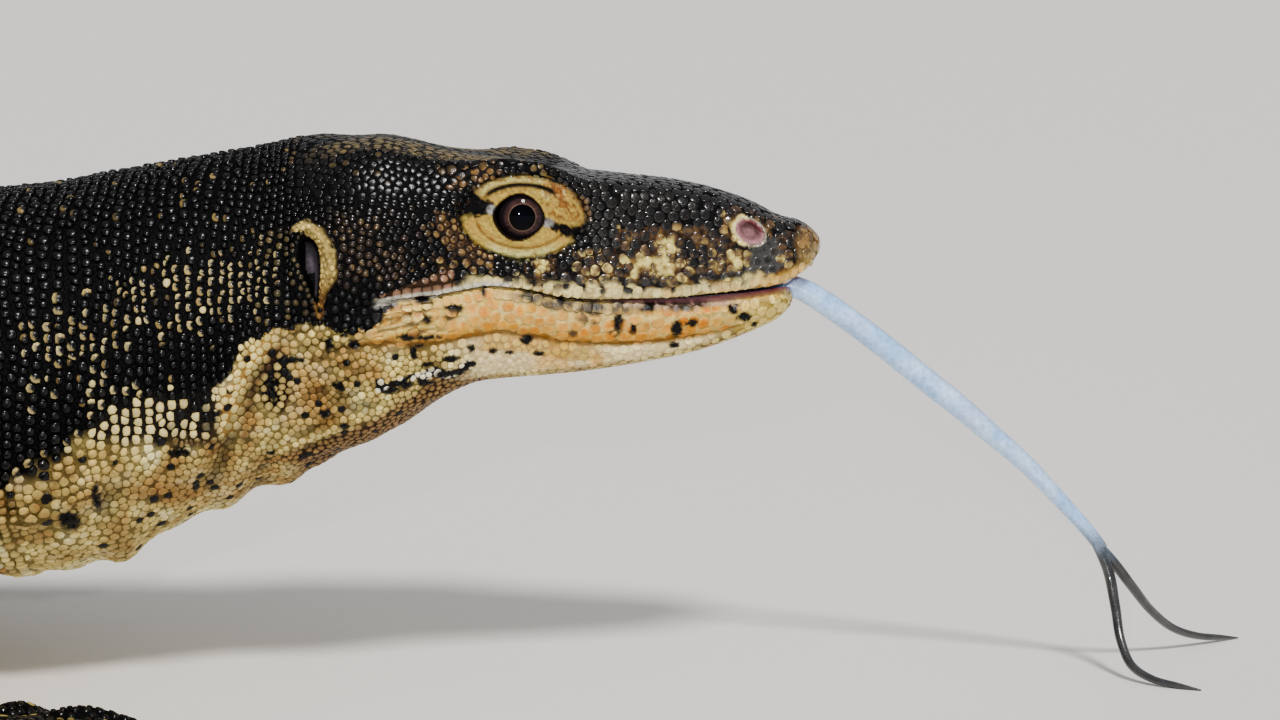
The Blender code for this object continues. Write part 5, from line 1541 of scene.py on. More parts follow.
# %% Lower jaw
def paint_lower_jaw(made, s, up, low, grains, dice):
    """Ivory under the groove, salmon above it, a striped cheek, a grey lip and a yellow chin."""
    finest, fine, coarse, broad, patchy = grains
    lip_gap, groove = up - smooth(LIP_UP, s), up - line(JAW_GROOVE, s)
    throat_up = smooth(THROAT_UP, np.minimum(s, HEAD_LENGTH))
    white = low * ease(0.4, -0.4, groove) * ease(18, 26, s) * ease(84, 76, s + 4 * dice)
    white *= ease(throat_up + 1.5, throat_up + 3, up)
    flushed = ease(46, 50, s) * ease(66, 60, s) * ease(0.45, 0.7, coarse)
    cream = mix(mix(IVORY, GUM, 0.3 * fine), APRICOT, np.clip(0.5 * flushed + 0.1 * broad, 0, 1))
    made.wash(white, cream, cream * 0.96, mix(cream, TAN, 0.3))
    lobe = white * ease(-4.6, -3.4, groove) * ease(46, 52, s) * ease(77, 73, s)
    made.wash(lobe * 0.8, mix(YELLOW, APRICOT, fine), SAND, TAN)
    salmon = low * ease(-0.4, 0.3, groove) * ease(11, 15, s) * ease(102, 98, s + 3 * dice)
    warm = ease(11, 22, s) * ease(0.2, 0.55, 0.6 * coarse + 0.4 * fine) * ease(-0.6, -2.6, lip_gap)
    orange = mix(mix(CREAM, APRICOT, 0.8), ORANGE, warm * (0.6 + 0.3 * dice)) * 0.80
    border = mix(mix(CREAM, IVORY, 0.7 * fine), APRICOT, 0.12 + 0.3 * coarse) * 0.92
    orange = mix(border, orange, 0.66 + 0.34 * ease(0.35, 0.65, 0.6 * fine + 0.4 * dice))
    made.wash(salmon, orange, mix(border, orange, 0.3 + 0.5 * finest), border * 0.9)
    along = salmon * near(groove - 1.4, 1.6) * ease(0.3, 0.6, fine) * ease(20, 30, s)
    made.wash(along * 0.6, mix(APRICOT, RUST, 0.6 * finest))
    cheek = salmon * ease(80, 87, s) * ease(-0.6, -1.6, lip_gap)
    stripes = np.sin((up + 0.20 * (s - 84)) * 3.0 + 1.6 * fine)
    made.wash(cheek * ease(0.1, 0.5, stripes), mix(CREAM, YELLOW, fine), CREAM, TAN)
    made.wash(cheek * ease(-0.3, -0.8, stripes) * 0.8, mix(RUST, TAN, finest), BROWN, UMBER)
    # Painted shade: a rust line along the bottom of the jaw's sunk groove.
    made.wash(salmon * near(groove - 0.2, 0.7) * ease(20, 30, s) * 0.7, mix(RUST, TAN, finest))
    edge = low * ease(-3.6, -2.2, lip_gap + 1.6 * (fine - 0.5)) * ease(13, 17, s) * ease(72, 62, s)
    greyed = mix(SAND, mix(OLIVE, SLATE, 0.6), 0.2 + 0.6 * fine)
    made.wash(edge * 0.85, mix(greyed, CREAM, 0.5 * finest), greyed, greyed * 0.95)
    gum = low * ease(-1.0, -0.4, lip_gap + smooth(MOUTH_OPEN, s)) * ease(7, 10, s) * ease(50, 38, s)
    made.wash(gum * 0.7, mix(GUM * 0.8, IVORY, 0.6 * finest))
    mottle = edge * ease(0.48, 0.60, 0.9 * patchy + 0.1 * dice) * ease(22, 30, s)
    made.wash(mottle * 0.85, mix(SLATE, SOOT, fine))
    chin = low * ease(21, 15, s + 5 * (coarse - 0.5)) * ease(-2.5, -0.5, groove)
    made.wash(chin * 0.85, mix(YELLOW, CREAM, 0.2 + 0.8 * fine), CREAM, mix(SAND, YELLOW, fine))


print("jaw groove under the eye:", round(line(JAW_GROOVE, EYE_STATION), 1), "mm")


# %% Black marks of the jaw, and its whole rule
def paint_black_marks(made, s, up, low, grains, dice):
    """Specks of the throat, a row of marks on the pouch, and the blots of the list."""
    finest, fine, coarse, broad, _ = grains
    groove = up - line(JAW_GROOVE, s)
    throat = low & (groove < 0) & (s > 84) & (dice < 0.015 + 0.05 * (broad > 0.55))
    made.lay(throat, BLACK, SOOT, UMBER)
    row = np.abs(up + 18.6 + 0.20 * (s - 88) + 3.0 * (coarse - 0.5)) < 1.3
    row &= low & (s > 77) & (s < 97) & (fine + 0.4 * dice > 0.55)
    made.lay(row & (dice < 0.55), BLACK, JET, SOOT)
    made.lay(row & (dice >= 0.55), IVORY, PEARL, JET)
    dark_rims = low * ease(1.1, 0.8, np.hypot((s - 82.4) / 4.4, (up + 3.0) / 2.8)) * ease(0.45, 0.6, fine)
    made.rim += (JET - made.rim) * (0.9 * dark_rims)[:, None]
    made.gap += (JET - made.gap) * (0.9 * dark_rims)[:, None]
    smoky = inside_any(SMOKY, s, up, finest) * low
    made.wash(smoky * 0.85 * ease(0.3, 0.5, finest), mix(SLATE, SOOT, dice), SOOT, SOOT)
    made.wash(inside_any(BLOTS, s, up, finest) * (s < 172), BLACK, JET, SOOT)


def paint_jaw(made, s, up, places, dice):
    """Lower jaw, chin and throat, as far back as the cream of the neck."""
    lip_gap = up - smooth(LIP_UP, s)
    grains = [noise(places, *look) for look in ((0.8, 17), (1.9, 6), (4.0, 25), (9.0, 7), (1.2, 26))]
    ragged = 1.4 * (dice - 0.5) + 2.4 * (noise(places, 3.0, 8) - 0.5)
    low = np.where(s < 92, lip_gap < -0.4, up < line(CREAM_LINE, s) + ragged * ease(92, 98, s))
    low &= s < VENT
    paint_throat(made, s, up, low, grains, dice)
    paint_lower_jaw(made, s, up, low, grains, dice)
    paint_black_marks(made, s, up, low, grains, dice)


print("the markings count", len(BLOTS) + len(SMOKY), "blots laid by hand")

# %% [markdown]
# ## Colours of neck, body and tail
# The neck is black with columns of yellow crescents, the body has cross rows of spots and the tail
# has bands. Rows and columns come from dividing the station and the way round by a pitch, and noise
# bends them, since no two spots of the animal are alike.

# %% Neck
def paint_neck(made, s, out, up, places, dice):
    """Columns of yellow crescents on the black side of the neck."""
    coarse = noise(places, 6.0, 9)
    stretched = noise(np.stack([s / 1.0, out * 0.4, up * 0.26], -1), 1.7, 18)
    edge = line(CREAM_LINE, s)
    black = up > edge + 1.0
    front = near(s - 123, 9) * near(up - 3.5, 7.5)
    middle = near(s - 139, 13) * near(up + 0.5, 10.5)
    back = near(s - 161, 12) * near(up + 11, 15)
    rows = near(up - edge - 2.2, 2.4) * ease(133, 140, s) * 0.8
    low = near(up + 16.0, 4.4) * ease(146, 130, s) * ease(114, 122, s)
    chance = 1.2 * front + 1.25 * middle + 1.05 * back + rows - 1.3 * low + 0.5 * (coarse - 0.5)
    chance = np.where((s > 111) & (s < 186), chance, 0) * (1 - ease(170, 186, s))
    beads = black & (0.5 * dice + 0.5 * stretched < 0.62 * chance)
    made.lay(beads, mix(SAND, IVORY, 0.7 * noise(places, 2.2, 19)), SOOT, JET)
    behind_ear = black & (s > 110) & (s < 122) & (up < 14) & (up > -6) & (coarse + 0.5 * dice > 0.62)
    made.lay(behind_ear & ~beads, mix(SOOT, OLIVE, 0.6 * dice), SOOT, JET)
    dim = black & ~beads & (s > 117) & (s < 200) & (dice > 0.92) & (up < 30)
    made.lay(dim, mix(SOOT, SAND, 0.1 + 0.8 * coarse), SOOT, JET)
    return beads | dim


print("cream line of the neck:", round(line(CREAM_LINE, 150), 1), "mm from the mouth's level")

# %% Body and tail
SPOTS_START = 178
SPOT_ROWS_APART = 33.0
SPOTS_APART = 18.0
TAIL_BAND_START = 690
TAIL_BANDS_APART = 46.0


def paint_body(made, s, angle, reach, up, places, dice):
    """Cross rows of yellow spots on the back, a yellow belly with black points, a banded tail."""
    fine, coarse = noise(places, 2.2, 10), noise(places, 9.0, 11)
    gold = mix(CITRON, YELLOW, 0.3 + 0.7 * fine)
    row = np.floor((s - SPOTS_START) / SPOT_ROWS_APART + 0.5)
    away = s - SPOTS_START - row * SPOT_ROWS_APART + 5.0 * (coarse - 0.5)
    arc = angle * reach + (row % 2) * 9.0
    column = np.floor(arc / SPOTS_APART + 0.5)
    beside = arc - column * SPOTS_APART + 3.0 * (fine - 0.5)
    size = np.hypot(away / 5.4, beside / 6.4) + 0.3 * (fine - 0.5)
    on_body = (s > 186) & (s < VENT)
    made.lay(on_body & (size < 1), gold, OLIVE, UMBER)
    made.lay(on_body & (size < 0.42) & (angle < 1.9), BLACK)
    speck = on_body & (size >= 1) & (dice < 0.04 + 0.08 * (angle > 1.0))
    made.lay(speck, gold * 0.7, OLIVE, JET)
    low = on_body & (up < line(CREAM_LINE, s) + 3.0 * (coarse - 0.5) + 7)
    point = np.abs(np.abs(away) - 16.5) < 1.0 + 0.35 * np.maximum(up - line(CREAM_LINE, s) + 6, 0)
    made.lay(low, mix(CREAM, YELLOW, fine), CREAM, SAND)
    made.lay(low & point, BLACK, SOOT, JET)
    on_tail = s >= VENT
    band = np.abs(((s - TAIL_BAND_START) / TAIL_BANDS_APART + 0.5) % 1.0 - 0.5) * TAIL_BANDS_APART
    band += 8.0 * (coarse - 0.5)
    made.lay(on_tail & (band < 6.0) & (dice < 0.82), gold * 0.9, OLIVE, UMBER)
    made.lay(on_tail & (band >= 6.0) & (dice < 0.05), OLIVE, SOOT, JET)
    under = on_tail & (angle > 2.3) & (band < 12)
    made.lay(under, mix(SAND, CREAM, fine), SAND, OLIVE)


print(round((VENT - SPOTS_START) / SPOT_ROWS_APART), "rows of spots on the body")

# %% [markdown]
# ## The whole rule
# A place belongs to a leg or to the trunk, and every part's rule is laid over the last one. The
# same function serves skin and scales, so that no scale can differ in colour from what is under it.

# %% Legs
def paint_legs(made, limb, share, places, tilt, dice):
    """Black legs sprinkled with yellow, finer towards the toes, and paler underneath."""
    big, small = noise(places, 4.6, 12), noise(places, 2.2, 13)
    fine = noise(places, 1.5, 14)
    sprinkled = np.where(share < 0.72, big > 0.66, small > 0.72) & (dice < 0.9)
    gold = mix(CITRON, YELLOW, fine)
    made.lay(limb, mix(BLACK, SOOT, 0.5 * fine), JET, JET)
    made.lay(limb & sprinkled, gold * 0.85, OLIVE, JET)
    under = limb & (tilt < -0.5) & (big < 0.62)
    made.lay(under, mix(SAND, CREAM, fine) * 0.8, SAND, OLIVE)


def on_limb(station, beyond):
    """Which places are on a leg: off the trunk's own surface, and far off it beside the neck."""
    return (station > 120) & (station < 720) & (beyond > np.where(station < 192, 14.0, 1.0))


print("a place at station 150 is on a leg:", bool(on_limb(150, 20.0)))


# %% Paint for any place
def paint(points, normals, dice):
    """The whole rule of the markings, for places on the skin; also where beads are crescents."""
    station, right, up = local_places(points)
    out = np.abs(right)
    angle, beyond, reach = shell_places(station, right, up)
    places = np.stack([station, right, up], -1)
    made = Paint(len(points))
    made.cap = mix(BLACK, SOOT, 0.5 * noise(places, 1.4, 15))
    paint_crown(made, station, out, up, places, dice)
    paint_snout(made, station, up, places, dice)
    paint_jaw(made, station, up, places, dice)
    paint_lids(made, station, out, up, places, dice)
    paint_eye_stripe(made, station, out, up, places, dice)
    paint_nostril(made, station, out, up, places)
    paint_ear(made, station, out, up, places, dice)
    crescents = paint_neck(made, station, out, up, places, dice)
    paint_body(made, station, angle, reach, up, places, dice)
    limb = on_limb(station, beyond)
    share = np.zeros(len(points))
    if limb.any():
        _, share[limb], _ = leg_places(points[limb])
    paint_legs(made, limb, share, points, normals[:, 2], dice)
    return made, crescents, (station, right, up, angle, beyond, share, limb)


snout_probe = paint(np.array([[-20.0, -14.0, 95.0]]), np.array([[0, 0, 1.0]]), np.array([0.5]))[0]
print("colour of a plate of the snout:", np.round(snout_probe.cap[0], 2).tolist())

# %% [markdown]
# ## Hide materials
# The markings reach the shader as a colour attribute, and the shader adds what is too fine for it:
# a mottling of each colour, a grain of pores, and a gloss that comes and goes as on damp horn.

# %% Hide materials
MOTTLE_SIZE = 0.0011


def wear_markings(made, grain, strength, shine, pebbles=None):
    """Colour from the markings, mottled, with fine grain and a varied gloss."""
    links = made.node_tree.links
    shader = made.node_tree.nodes["Principled BSDF"]
    marks = add_node(made, "Attribute")
    marks.attribute_name = "markings"
    texture, bump = add_bump(made, grain, strength, grain * 0.25, 3.0)
    add_roughness(made, texture, *shine)
    place = add_node(made, "TexCoord")
    mottle = add_node(made, "TexNoise", Scale=1 / MOTTLE_SIZE, Detail=4)
    span = add_node(made, "MapRange", From_Min=0.25, From_Max=0.75, To_Min=0.76, To_Max=1.18)
    times = add_node(made, "Mix")
    times.data_type = "RGBA"
    times.blend_type = "MULTIPLY"
    times.inputs["Factor"].default_value = 1.0
    links.new(place.outputs["Object"], mottle.inputs["Vector"])
    links.new(mottle.outputs["Fac"], span.inputs["Value"])
    links.new(marks.outputs["Color"], times.inputs[6])
    links.new(span.outputs["Result"], times.inputs[7])
    links.new(times.outputs[2], shader.inputs["Base Color"])
    if pebbles:
        cells = add_node(made, "TexVoronoi", Scale=1 / pebbles)
        domes = add_node(made, "Bump", Strength=0.9, Distance=pebbles * 0.35)
        domes.invert = True
        links.new(place.outputs["Object"], cells.inputs["Vector"])
        links.new(cells.outputs["Distance"], domes.inputs["Height"])
        links.new(domes.outputs["Normal"], bump.inputs["Normal"])


def wear_colours(mesh, colours):
    """Stores a colour for each point of a mesh."""
    layer = mesh.color_attributes.new("markings", "FLOAT_COLOR", "POINT")
    whole = np.concatenate([np.clip(colours, 0, 1), np.ones((len(colours), 1))], axis=1)
    layer.data.foreach_set("color", whole.astype(np.float32).ravel())


wear_markings(hide, 0.0005, 0.40, (0.50, 0.80), pebbles=0.0008)
hide.node_tree.nodes["Principled BSDF"].inputs["Specular IOR Level"].default_value = 0.12
scale_horn = new_material("scale_horn", roughness=0.3, Specular_IOR_Level=0.35)
wear_markings(scale_horn, 0.0006, 0.42, (0.13, 0.36))
wear_markings(mouth_wet, 0.0008, 0.45, (0.10, 0.28))
scale_wet = new_material("scale_wet", Specular_IOR_Level=0.2, Coat_Weight=1.0, Coat_Roughness=0.04)
wear_markings(scale_wet, 0.0007, 1.0, (0.2, 0.4))
scale_soft = new_material("scale_soft", Specular_IOR_Level=0.22)
wear_markings(scale_soft, 0.0005, 0.5, (0.26, 0.48))
SURFACES = {"scales_snout": scale_wet, "scales_jaw": scale_soft, "scales_throat": scale_soft}
print(len(hide.node_tree.nodes), "nodes in the hide")


# %% Colours of the skin
# Depth below the relaxed skin at which a hollow gets its full painted shade.
FULL_SHADE_DEPTH = 0.17


def point_normals(points, triangles):
    """Smooth normals of the points of a closed mesh."""
    a, b, c = (points[triangles[:, k]] for k in range(3))
    face = np.cross(b - a, c - a)
    total = np.zeros_like(points)
    for corner in range(3):
        for axis in range(3):
            total[:, axis] += np.bincount(triangles[:, corner], face[:, axis], len(points))
    return total / np.maximum(np.linalg.norm(total, axis=1, keepdims=True), 1e-12)


skin_normals = point_normals(points, triangles)
# Painted shade: how deep each point lies below its relaxed neighbours, as a share from 0 to 1.
flattened = relaxed(points, triangles, np.full(len(points), 0.5), 12)
hollow_shade = np.clip(np.einsum("ij,ij->i", flattened - points, skin_normals) / FULL_SHADE_DEPTH, 0, 1)
print("hollows darken", int((hollow_shade > 0.3).sum()), "points")
skin_paint, _, skin_facts = paint(points, skin_normals, np.full(len(points), 0.5))
wet = np.ones(len(points), bool)
wet[triangles[which == HIDE].ravel()] = False
lower_half_gap = skin_facts[2] - smooth(LIP_UP, skin_facts[0]) + 0.42 * smooth(MOUTH_OPEN, skin_facts[0])
gum_share = ease(0.25, -0.25, lower_half_gap) * (0.75 + 0.25 * noise(points, 1.6, 20))
# Painted shade: the skin in hollows is darker, by up to half.
skin_colours = skin_paint.gap * (1 - 0.5 * hollow_shade[:, None])
skin_colours[wet] = mix(CRIMSON, GUM, gum_share)[wet]
wear_colours(skin.data, skin_colours)
print("skin painted;", int(skin_facts[-1].sum()), "points on the legs;", int(wet.sum()), "in the mouth")

# %% [markdown]
# ## Where the scales grow
# On the neck, body and tail the scales stand in cross rows, so their roots are laid out row by row.
# On the head and legs they are plates of uneven size, so roots are scattered, thinned out until
# none is nearer than its own size, and pushed apart for a few rounds. Both end on the same skin.

# %% Roots in rows
COAT_START = 115.6
INSIDE_A_LEG = 1.2
ROW_PITCH = ((115, 1.75), (125, 2.05), (150, 2.4), (175, 2.5), (230, 2.6), (330, 3.0), (545, 3.1),
             (660, 3.3), (780, 4.0), (1300, 4.2), (1500, 3.4), (1660, 2.2))
BEAD_PITCH = ((115, 1.65), (125, 1.95), (150, 2.25), (175, 2.35), (230, 2.5), (330, 2.85),
              (545, 2.85), (660, 2.7), (780, 2.6), (1300, 2.3), (1500, 1.7), (1660, 1.2))
chance = np.random.default_rng(7)


def row_stations():
    """Stations of the cross rows, each a pitch behind the last."""
    made, at = [], COAT_START
    while at < TAIL_END - 1.5:
        made.append(at)
        at += float(smooth(ROW_PITCH, at))
    return np.array(made)


def on_throat(s, right, up):
    """The pale throat behind the head, where the rows break up into scattered grains."""
    edge = line(CREAM_LINE, s) + 2.4 * (noise(np.stack([s, right, up], -1), 4.0, 27) - 0.5)
    edge = np.where(s > 131, np.minimum(edge, -31.0 - 0.2 * (s - 131)), edge)
    return (s >= COAT_START - 0.8) & (s < 174) & (up < edge)


def row_roots():
    """Roots of the cross rows, evenly spaced round each section and staggered by turns."""
    rows = row_stations()
    halves = half_section(rows, np.linspace(0, 6, 181))
    loops = np.concatenate([halves, halves[:, -2:0:-1] * np.array([-1.0, 1.0])], axis=1)
    pitches = smooth(BEAD_PITCH, rows)
    roots = []
    for number, (at, loop, pitch) in enumerate(zip(rows, loops, pitches)):
        closed = np.concatenate([loop, loop[:1]])
        reach = np.concatenate([[0], np.cumsum(np.linalg.norm(np.diff(closed, axis=0), axis=1))])
        count = max(6, round(reach[-1] / pitch))
        spot = (np.arange(count) + 0.5 * (number % 2) + chance.uniform(-0.30, 0.30, count)) / count
        spot = (spot % 1.0) * reach[-1]
        section = np.stack([np.interp(spot, reach, closed[:, c]) for c in range(2)], -1)
        here = np.stack([np.full(count, at), section[:, 0], section[:, 1]], -1)
        wave = 4.0 * (noise(here, 15.0, 21) - 0.5)
        above_cream = section[:, 1] - line(CREAM_LINE, here[:, 0])
        loose = 2.2 * (noise(here, 5.0, 22) - 0.5) * ease(-4, -12, above_cream)
        sway = (wave + loose) * ease(115, 121, at) * (1 - ease(240, 300, at))
        stations = at + sway + chance.normal(0, 0.12, count) * pitch
        roots.append(place_sections(stations, section[:, None])[:, 0])
    return np.concatenate(roots)


print(len(row_stations()), "rows from the nape to the tip of the tail")

# %% Roots on the skin
skin_tree = BVHTree.FromPolygons(points.tolist(), triangles.tolist())


def on_skin(roots):
    """Nearest places on the skin, their smooth normals, how far each root moved, and its triangle."""
    found = [skin_tree.find_nearest(p) for p in roots.tolist()]
    where = np.array([tuple(f[0]) for f in found])
    index = np.array([f[2] for f in found])
    normal = skin_normals[triangles[index]].mean(1)
    normal /= np.linalg.norm(normal, axis=1, keepdims=True)
    return where, normal, np.linalg.norm(where - roots, axis=1), index


roots = row_roots()
row_places, row_normals, moved, _ = on_skin(roots)
kept = (moved < INSIDE_A_LEG) & ~on_throat(*local_places(row_places))
row_places, row_normals = row_places[kept], row_normals[kept]
print(len(row_places), "roots in rows;", int((moved >= INSIDE_A_LEG).sum()), "lay inside a leg")


# %% Spacing of the scattered scales
def head_spacing(s, right, up):
    """Distance between scales of the head in millimetres; each rule overrules those before it."""
    out = np.abs(right)
    lip_gap = up - smooth(LIP_UP, s)
    on_brow = (np.abs(out - smooth(BROW_OUT, s)) < 2.5) & (up > 22) & (s > 52) & (s < 84)
    jaw_plate = np.where(up - line(JAW_GROOVE, s) > 0, 2.1, 1.5)
    grains = 1.10 + 0.15 * ease(100, 115, s) + 0.5 * ease(130, 172, s)
    grains *= 0.82 + 0.42 * noise(np.stack([s, right, up], -1), 4.5, 28)
    lids = lid_share(s, up)
    rules = (
        ((s < 58) & (lip_gap > 0), 1.75 - 0.2 * ease(10, 4, s)),
        ((s >= 58) & (s < 92) & (up < 9) & (lip_gap > 0), 1.6),
        ((up > 22) & (out < 13) & (s > 40), 1.75),
        (on_brow, 1.8),
        ((s > 82) & (up > 3) & (out > 14), 1.35 + 0.35 * ease(102, 115, s)),
        ((lip_gap < 0) & (s < 98), jaw_plate),
        ((s > 60) & (up < -11) | (s > 115), grains),
        ((out > 12) & (lids < 1.35), 0.95 + 0.5 * ease(1.0, 1.35, lids)),
        ((out > 4) & (nostril_share(s, up)[0] < 1.6), 0.95),
        ((out > 16) & (ear_share(s, up)[0] < 2.3), 1.0),
    )
    size = np.full(len(s), 1.45)
    for where, wanted in rules:
        size = np.where(where, wanted, size)
    return size


def leg_spacing(share):
    """Distance between scales of the legs, smaller towards the toes."""
    return 2.3 - 0.75 * ease(0.45, 0.95, share)


print("spacing on the legs:", np.round(leg_spacing(np.array([0.0, 1.0])), 2).tolist(), "mm")


# %% Scatter, thin out and push apart
def scattered(triangle_list, spacing, crowd):
    """Random places on the skin, closer together where the spacing is small."""
    corners = points[triangles[triangle_list]]
    area = np.linalg.norm(np.cross(corners[:, 1] - corners[:, 0], corners[:, 2] - corners[:, 0]), axis=1)
    wanted = area / 2 / spacing**2
    total = int(wanted.sum() * crowd)
    pick = chance.choice(len(wanted), total, p=wanted / wanted.sum())
    a, b = chance.random((2, total, 1))
    turn = a + b > 1
    a, b = np.where(turn, 1 - a, a), np.where(turn, 1 - b, b)
    first, second, third = (corners[pick][:, k] for k in range(3))
    return first + a * (second - first) + b * (third - first), spacing[pick]


def thinned(places, spacing):
    """Numbers of places kept so that none is nearer than its spacing; earlier ones come first."""
    tree = tree_of(places)
    alive = np.ones(len(places), bool)
    kept = []
    for i, place in enumerate(places.tolist()):
        if alive[i]:
            kept.append(i)
            for _, j, _ in tree.find_range(place, float(spacing[i])):
                alive[j] = False
    return np.array(kept)


def neighbours(places, count):
    """Vectors from each place to its nearest others."""
    tree = tree_of(places)
    index = np.array([[f[1] for f in tree.find_n(p, count + 1)][1:] for p in places.tolist()])
    return places[index] - places[:, None]


def pushed_apart(places, spacing, fixed, rounds=6):
    """Even spacing: each place is pushed off its near neighbours and put back on the skin."""
    for _ in range(rounds):
        away = neighbours(places, 6)
        gap = np.linalg.norm(away, axis=2, keepdims=True)
        push = -(away / np.maximum(gap, 1e-6) * np.clip(spacing[:, None, None] * 1.18 - gap, 0, None))
        places = places + np.where(fixed[:, None], 0, push.sum(1) * 0.28)
        places, normals, _, index = on_skin(places)
    return places, normals, index


print("thinned numbers of a trial row:", thinned(np.eye(3)[[0, 0, 1]], np.ones(3)).tolist())


# %% Roots on the head and throat
def lip_seeds():
    """One row of larger plates along each lip."""
    seeds = []
    at = np.arange(4.0, 94.0, 2.15)
    for side in (-1, 1):
        for offset, lower in ((1.15, False), (-1.25, True)):
            up = smooth(LIP_UP, at) + offset - (smooth(MOUTH_OPEN, at) if lower else 0)
            keep = at > (9.5 if lower else 0)
            out = smooth(LIP_OUT, at) * side
            seeds.append(np.stack([-at, out, up + MOUTH_HEIGHT], -1)[keep])
    return np.concatenate(seeds)


middle_of = points[triangles].mean(1)
tri_station, tri_right, tri_up = local_places(middle_of)
_, tri_beyond, _ = shell_places(tri_station, tri_right, tri_up)
lids = lid_share(tri_station, tri_up)
nostril = nostril_share(tri_station, tri_up)[0]
ear = ear_share(tri_station, tri_up)[0]
bare = (np.abs(tri_right) > 12) & (lids < 0.99) | (np.abs(tri_right) > 4) & (nostril < 1.10)
bare |= (np.abs(tri_right) > 16) & (ear < 1.10)
scattered_there = (tri_station < COAT_START - 0.8) | on_throat(tri_station, tri_right, tri_up)
scattered_there &= ~on_limb(tri_station, tri_beyond)
head_list = np.flatnonzero((which == HIDE) & scattered_there & ~bare)
spread = head_spacing(tri_station[head_list], tri_right[head_list], tri_up[head_list])
loose, loose_spacing = scattered(head_list, spread, 6)
seeds = on_skin(lip_seeds())[0]
places = np.concatenate([seeds, loose])
spacing = np.concatenate([np.full(len(seeds), 1.9), loose_spacing])
kept = thinned(places, spacing)
fixed = kept < len(seeds)
head_places, head_normals, index = pushed_apart(places[kept], spacing[kept], fixed)
grown = (which[index] == HIDE) & ~bare[index]
head_places, head_normals = head_places[grown], head_normals[grown]
head_size = spacing[kept][grown]
print(len(head_places), "scales on the head and throat")

# %% Roots on the legs
tri_share = np.zeros(len(triangles))
close = on_limb(tri_station, tri_beyond)
_, tri_share[close], _ = leg_places(middle_of[close])
resting = middle_of[:, 2] < 0.5
leg_list = np.flatnonzero(close & ~resting)
loose, loose_spacing = scattered(leg_list, leg_spacing(tri_share[leg_list]), 5)
kept = thinned(loose, loose_spacing)
leg_roots, leg_normals, _ = pushed_apart(loose[kept], loose_spacing[kept], np.zeros(len(kept), bool), 3)
leg_size = loose_spacing[kept]
print(len(leg_roots), "scales on the legs")

# %% [markdown]
# ## The shape of a scale
# Each scale fills its own cell: the part of the skin nearer to its root than to any other, drawn in
# a little. Beads of the neck and temple are rounded, plates of the snout and jaw keep their corners.
# Rings of points rise from the sunk rim to the cap, and all scales of a region are one mesh, since
# thousands of separate objects would be slow.

# %% What each scale knows of its place
root_places = np.concatenate([head_places, leg_roots, row_places])
root_normals = np.concatenate([head_normals, leg_normals, row_normals])
dice = chance.random(len(root_places))
# Painted shade of the hollow in which each scale's root sits.
root_hollow_shade = hollow_shade[triangles[on_skin(root_places)[3]]].mean(1)
coat_paint, crescents, facts = paint(root_places, root_normals, dice)
station, right, up, angle, beyond, share, limb = facts
on_head = np.arange(len(root_places)) < len(head_places)
own_size = np.concatenate([head_size, leg_size, smooth(BEAD_PITCH, station[-len(row_places):])])
upright_bars = ~on_head & (station > 130) & (station < 157) & (up < line(CREAM_LINE, station) + 1)
print(len(root_places), "scales in all,", int(on_head.sum()), "of them on the head and throat")

# %% Cells round the roots
SIDES = 8


def cell_reach(sides):
    """Distance from each root to the border of its cell in a number of directions."""
    turn = spine_at(station)[2]
    along = np.stack([-np.cos(turn), -np.sin(turn), np.zeros(len(turn))], -1)
    along -= root_normals * np.einsum("ij,ij->i", along, root_normals)[:, None]
    flat = np.linalg.norm(along, axis=1) < 0.2
    along[flat] = np.cross(root_normals[flat], np.array([0.0, 1.0, 0.0]))
    along /= np.maximum(np.linalg.norm(along, axis=1, keepdims=True), 1e-9)
    across = np.cross(root_normals, along)
    away = neighbours(root_places, 10)
    a = np.einsum("inj,ij->in", away, along)
    b = np.einsum("inj,ij->in", away, across)
    square = a * a + b * b
    theta = ring_angles(sides)
    facing = a[:, None] * np.cos(theta)[None, :, None] + b[:, None] * np.sin(theta)[None, :, None]
    border = np.where(facing > 1e-6, square[:, None] / np.maximum(2 * facing, 1e-6), 9.0)
    return np.minimum(border.min(2), own_size[:, None] * 0.80), along, across


reach, along, across = cell_reach(SIDES)
print("cells reach", round(float(reach.mean()), 2), "mm from their roots on average")


# %% Height, roundness and filling of the scales
CAP_HEIGHT = ((0, 0.11), (50, 0.14), (90, 0.28), (112, 0.42), (125, 0.62), (160, 0.74), (300, 0.6),
              (700, 0.6), (1660, 0.3))
ROUNDNESS = ((0, 0.05), (60, 0.15), (85, 0.55), (110, 0.6), (130, 0.55), (1660, 0.35))
FILLING = ((0, 1.0), (60, 1.0), (85, 0.98), (110, 0.97), (130, 0.96), (300, 0.96))


def scale_shapes():
    """Height of each cap, how round its cell is, and the share of the cell that it fills."""
    lip_gap = up - smooth(LIP_UP, station)
    above_groove = up - line(JAW_GROOVE, station) > 0
    high, soft, fill = (line(table, station) for table in (CAP_HEIGHT, ROUNDNESS, FILLING))
    jaw = on_head & (lip_gap < 0) & (station < 98)
    throat = on_head & (up < -11) & (station > 82) | on_head & (station > COAT_START)
    lip_plate = on_head & (np.abs(lip_gap) < 2.2) & (station < 92)
    regions = (
        (on_head & (up > 21), 0.16, 0.2, fill),
        (jaw, np.where(above_groove, 0.12, 0.10), np.where(above_groove, 0.03, 0.12), 1.0),
        (throat, 0.25, 0.20, 1.0),
        (lip_plate, 0.03, 0.0, 0.86 + 0.14 * ease(6, 11, station)),
        (limb, 0.36 - 0.12 * ease(0.6, 1.0, share), 0.45, fill),
        (upright_bars, 0.40, np.where(limb, 0.45, 0.15), fill),
    )
    for where, height, roundness_here, filling in regions:
        high = np.where(where, height, high)
        soft = np.where(where, roundness_here, soft)
        fill = np.where(where, filling, fill)
    return np.minimum(high, own_size * 0.32), soft, fill


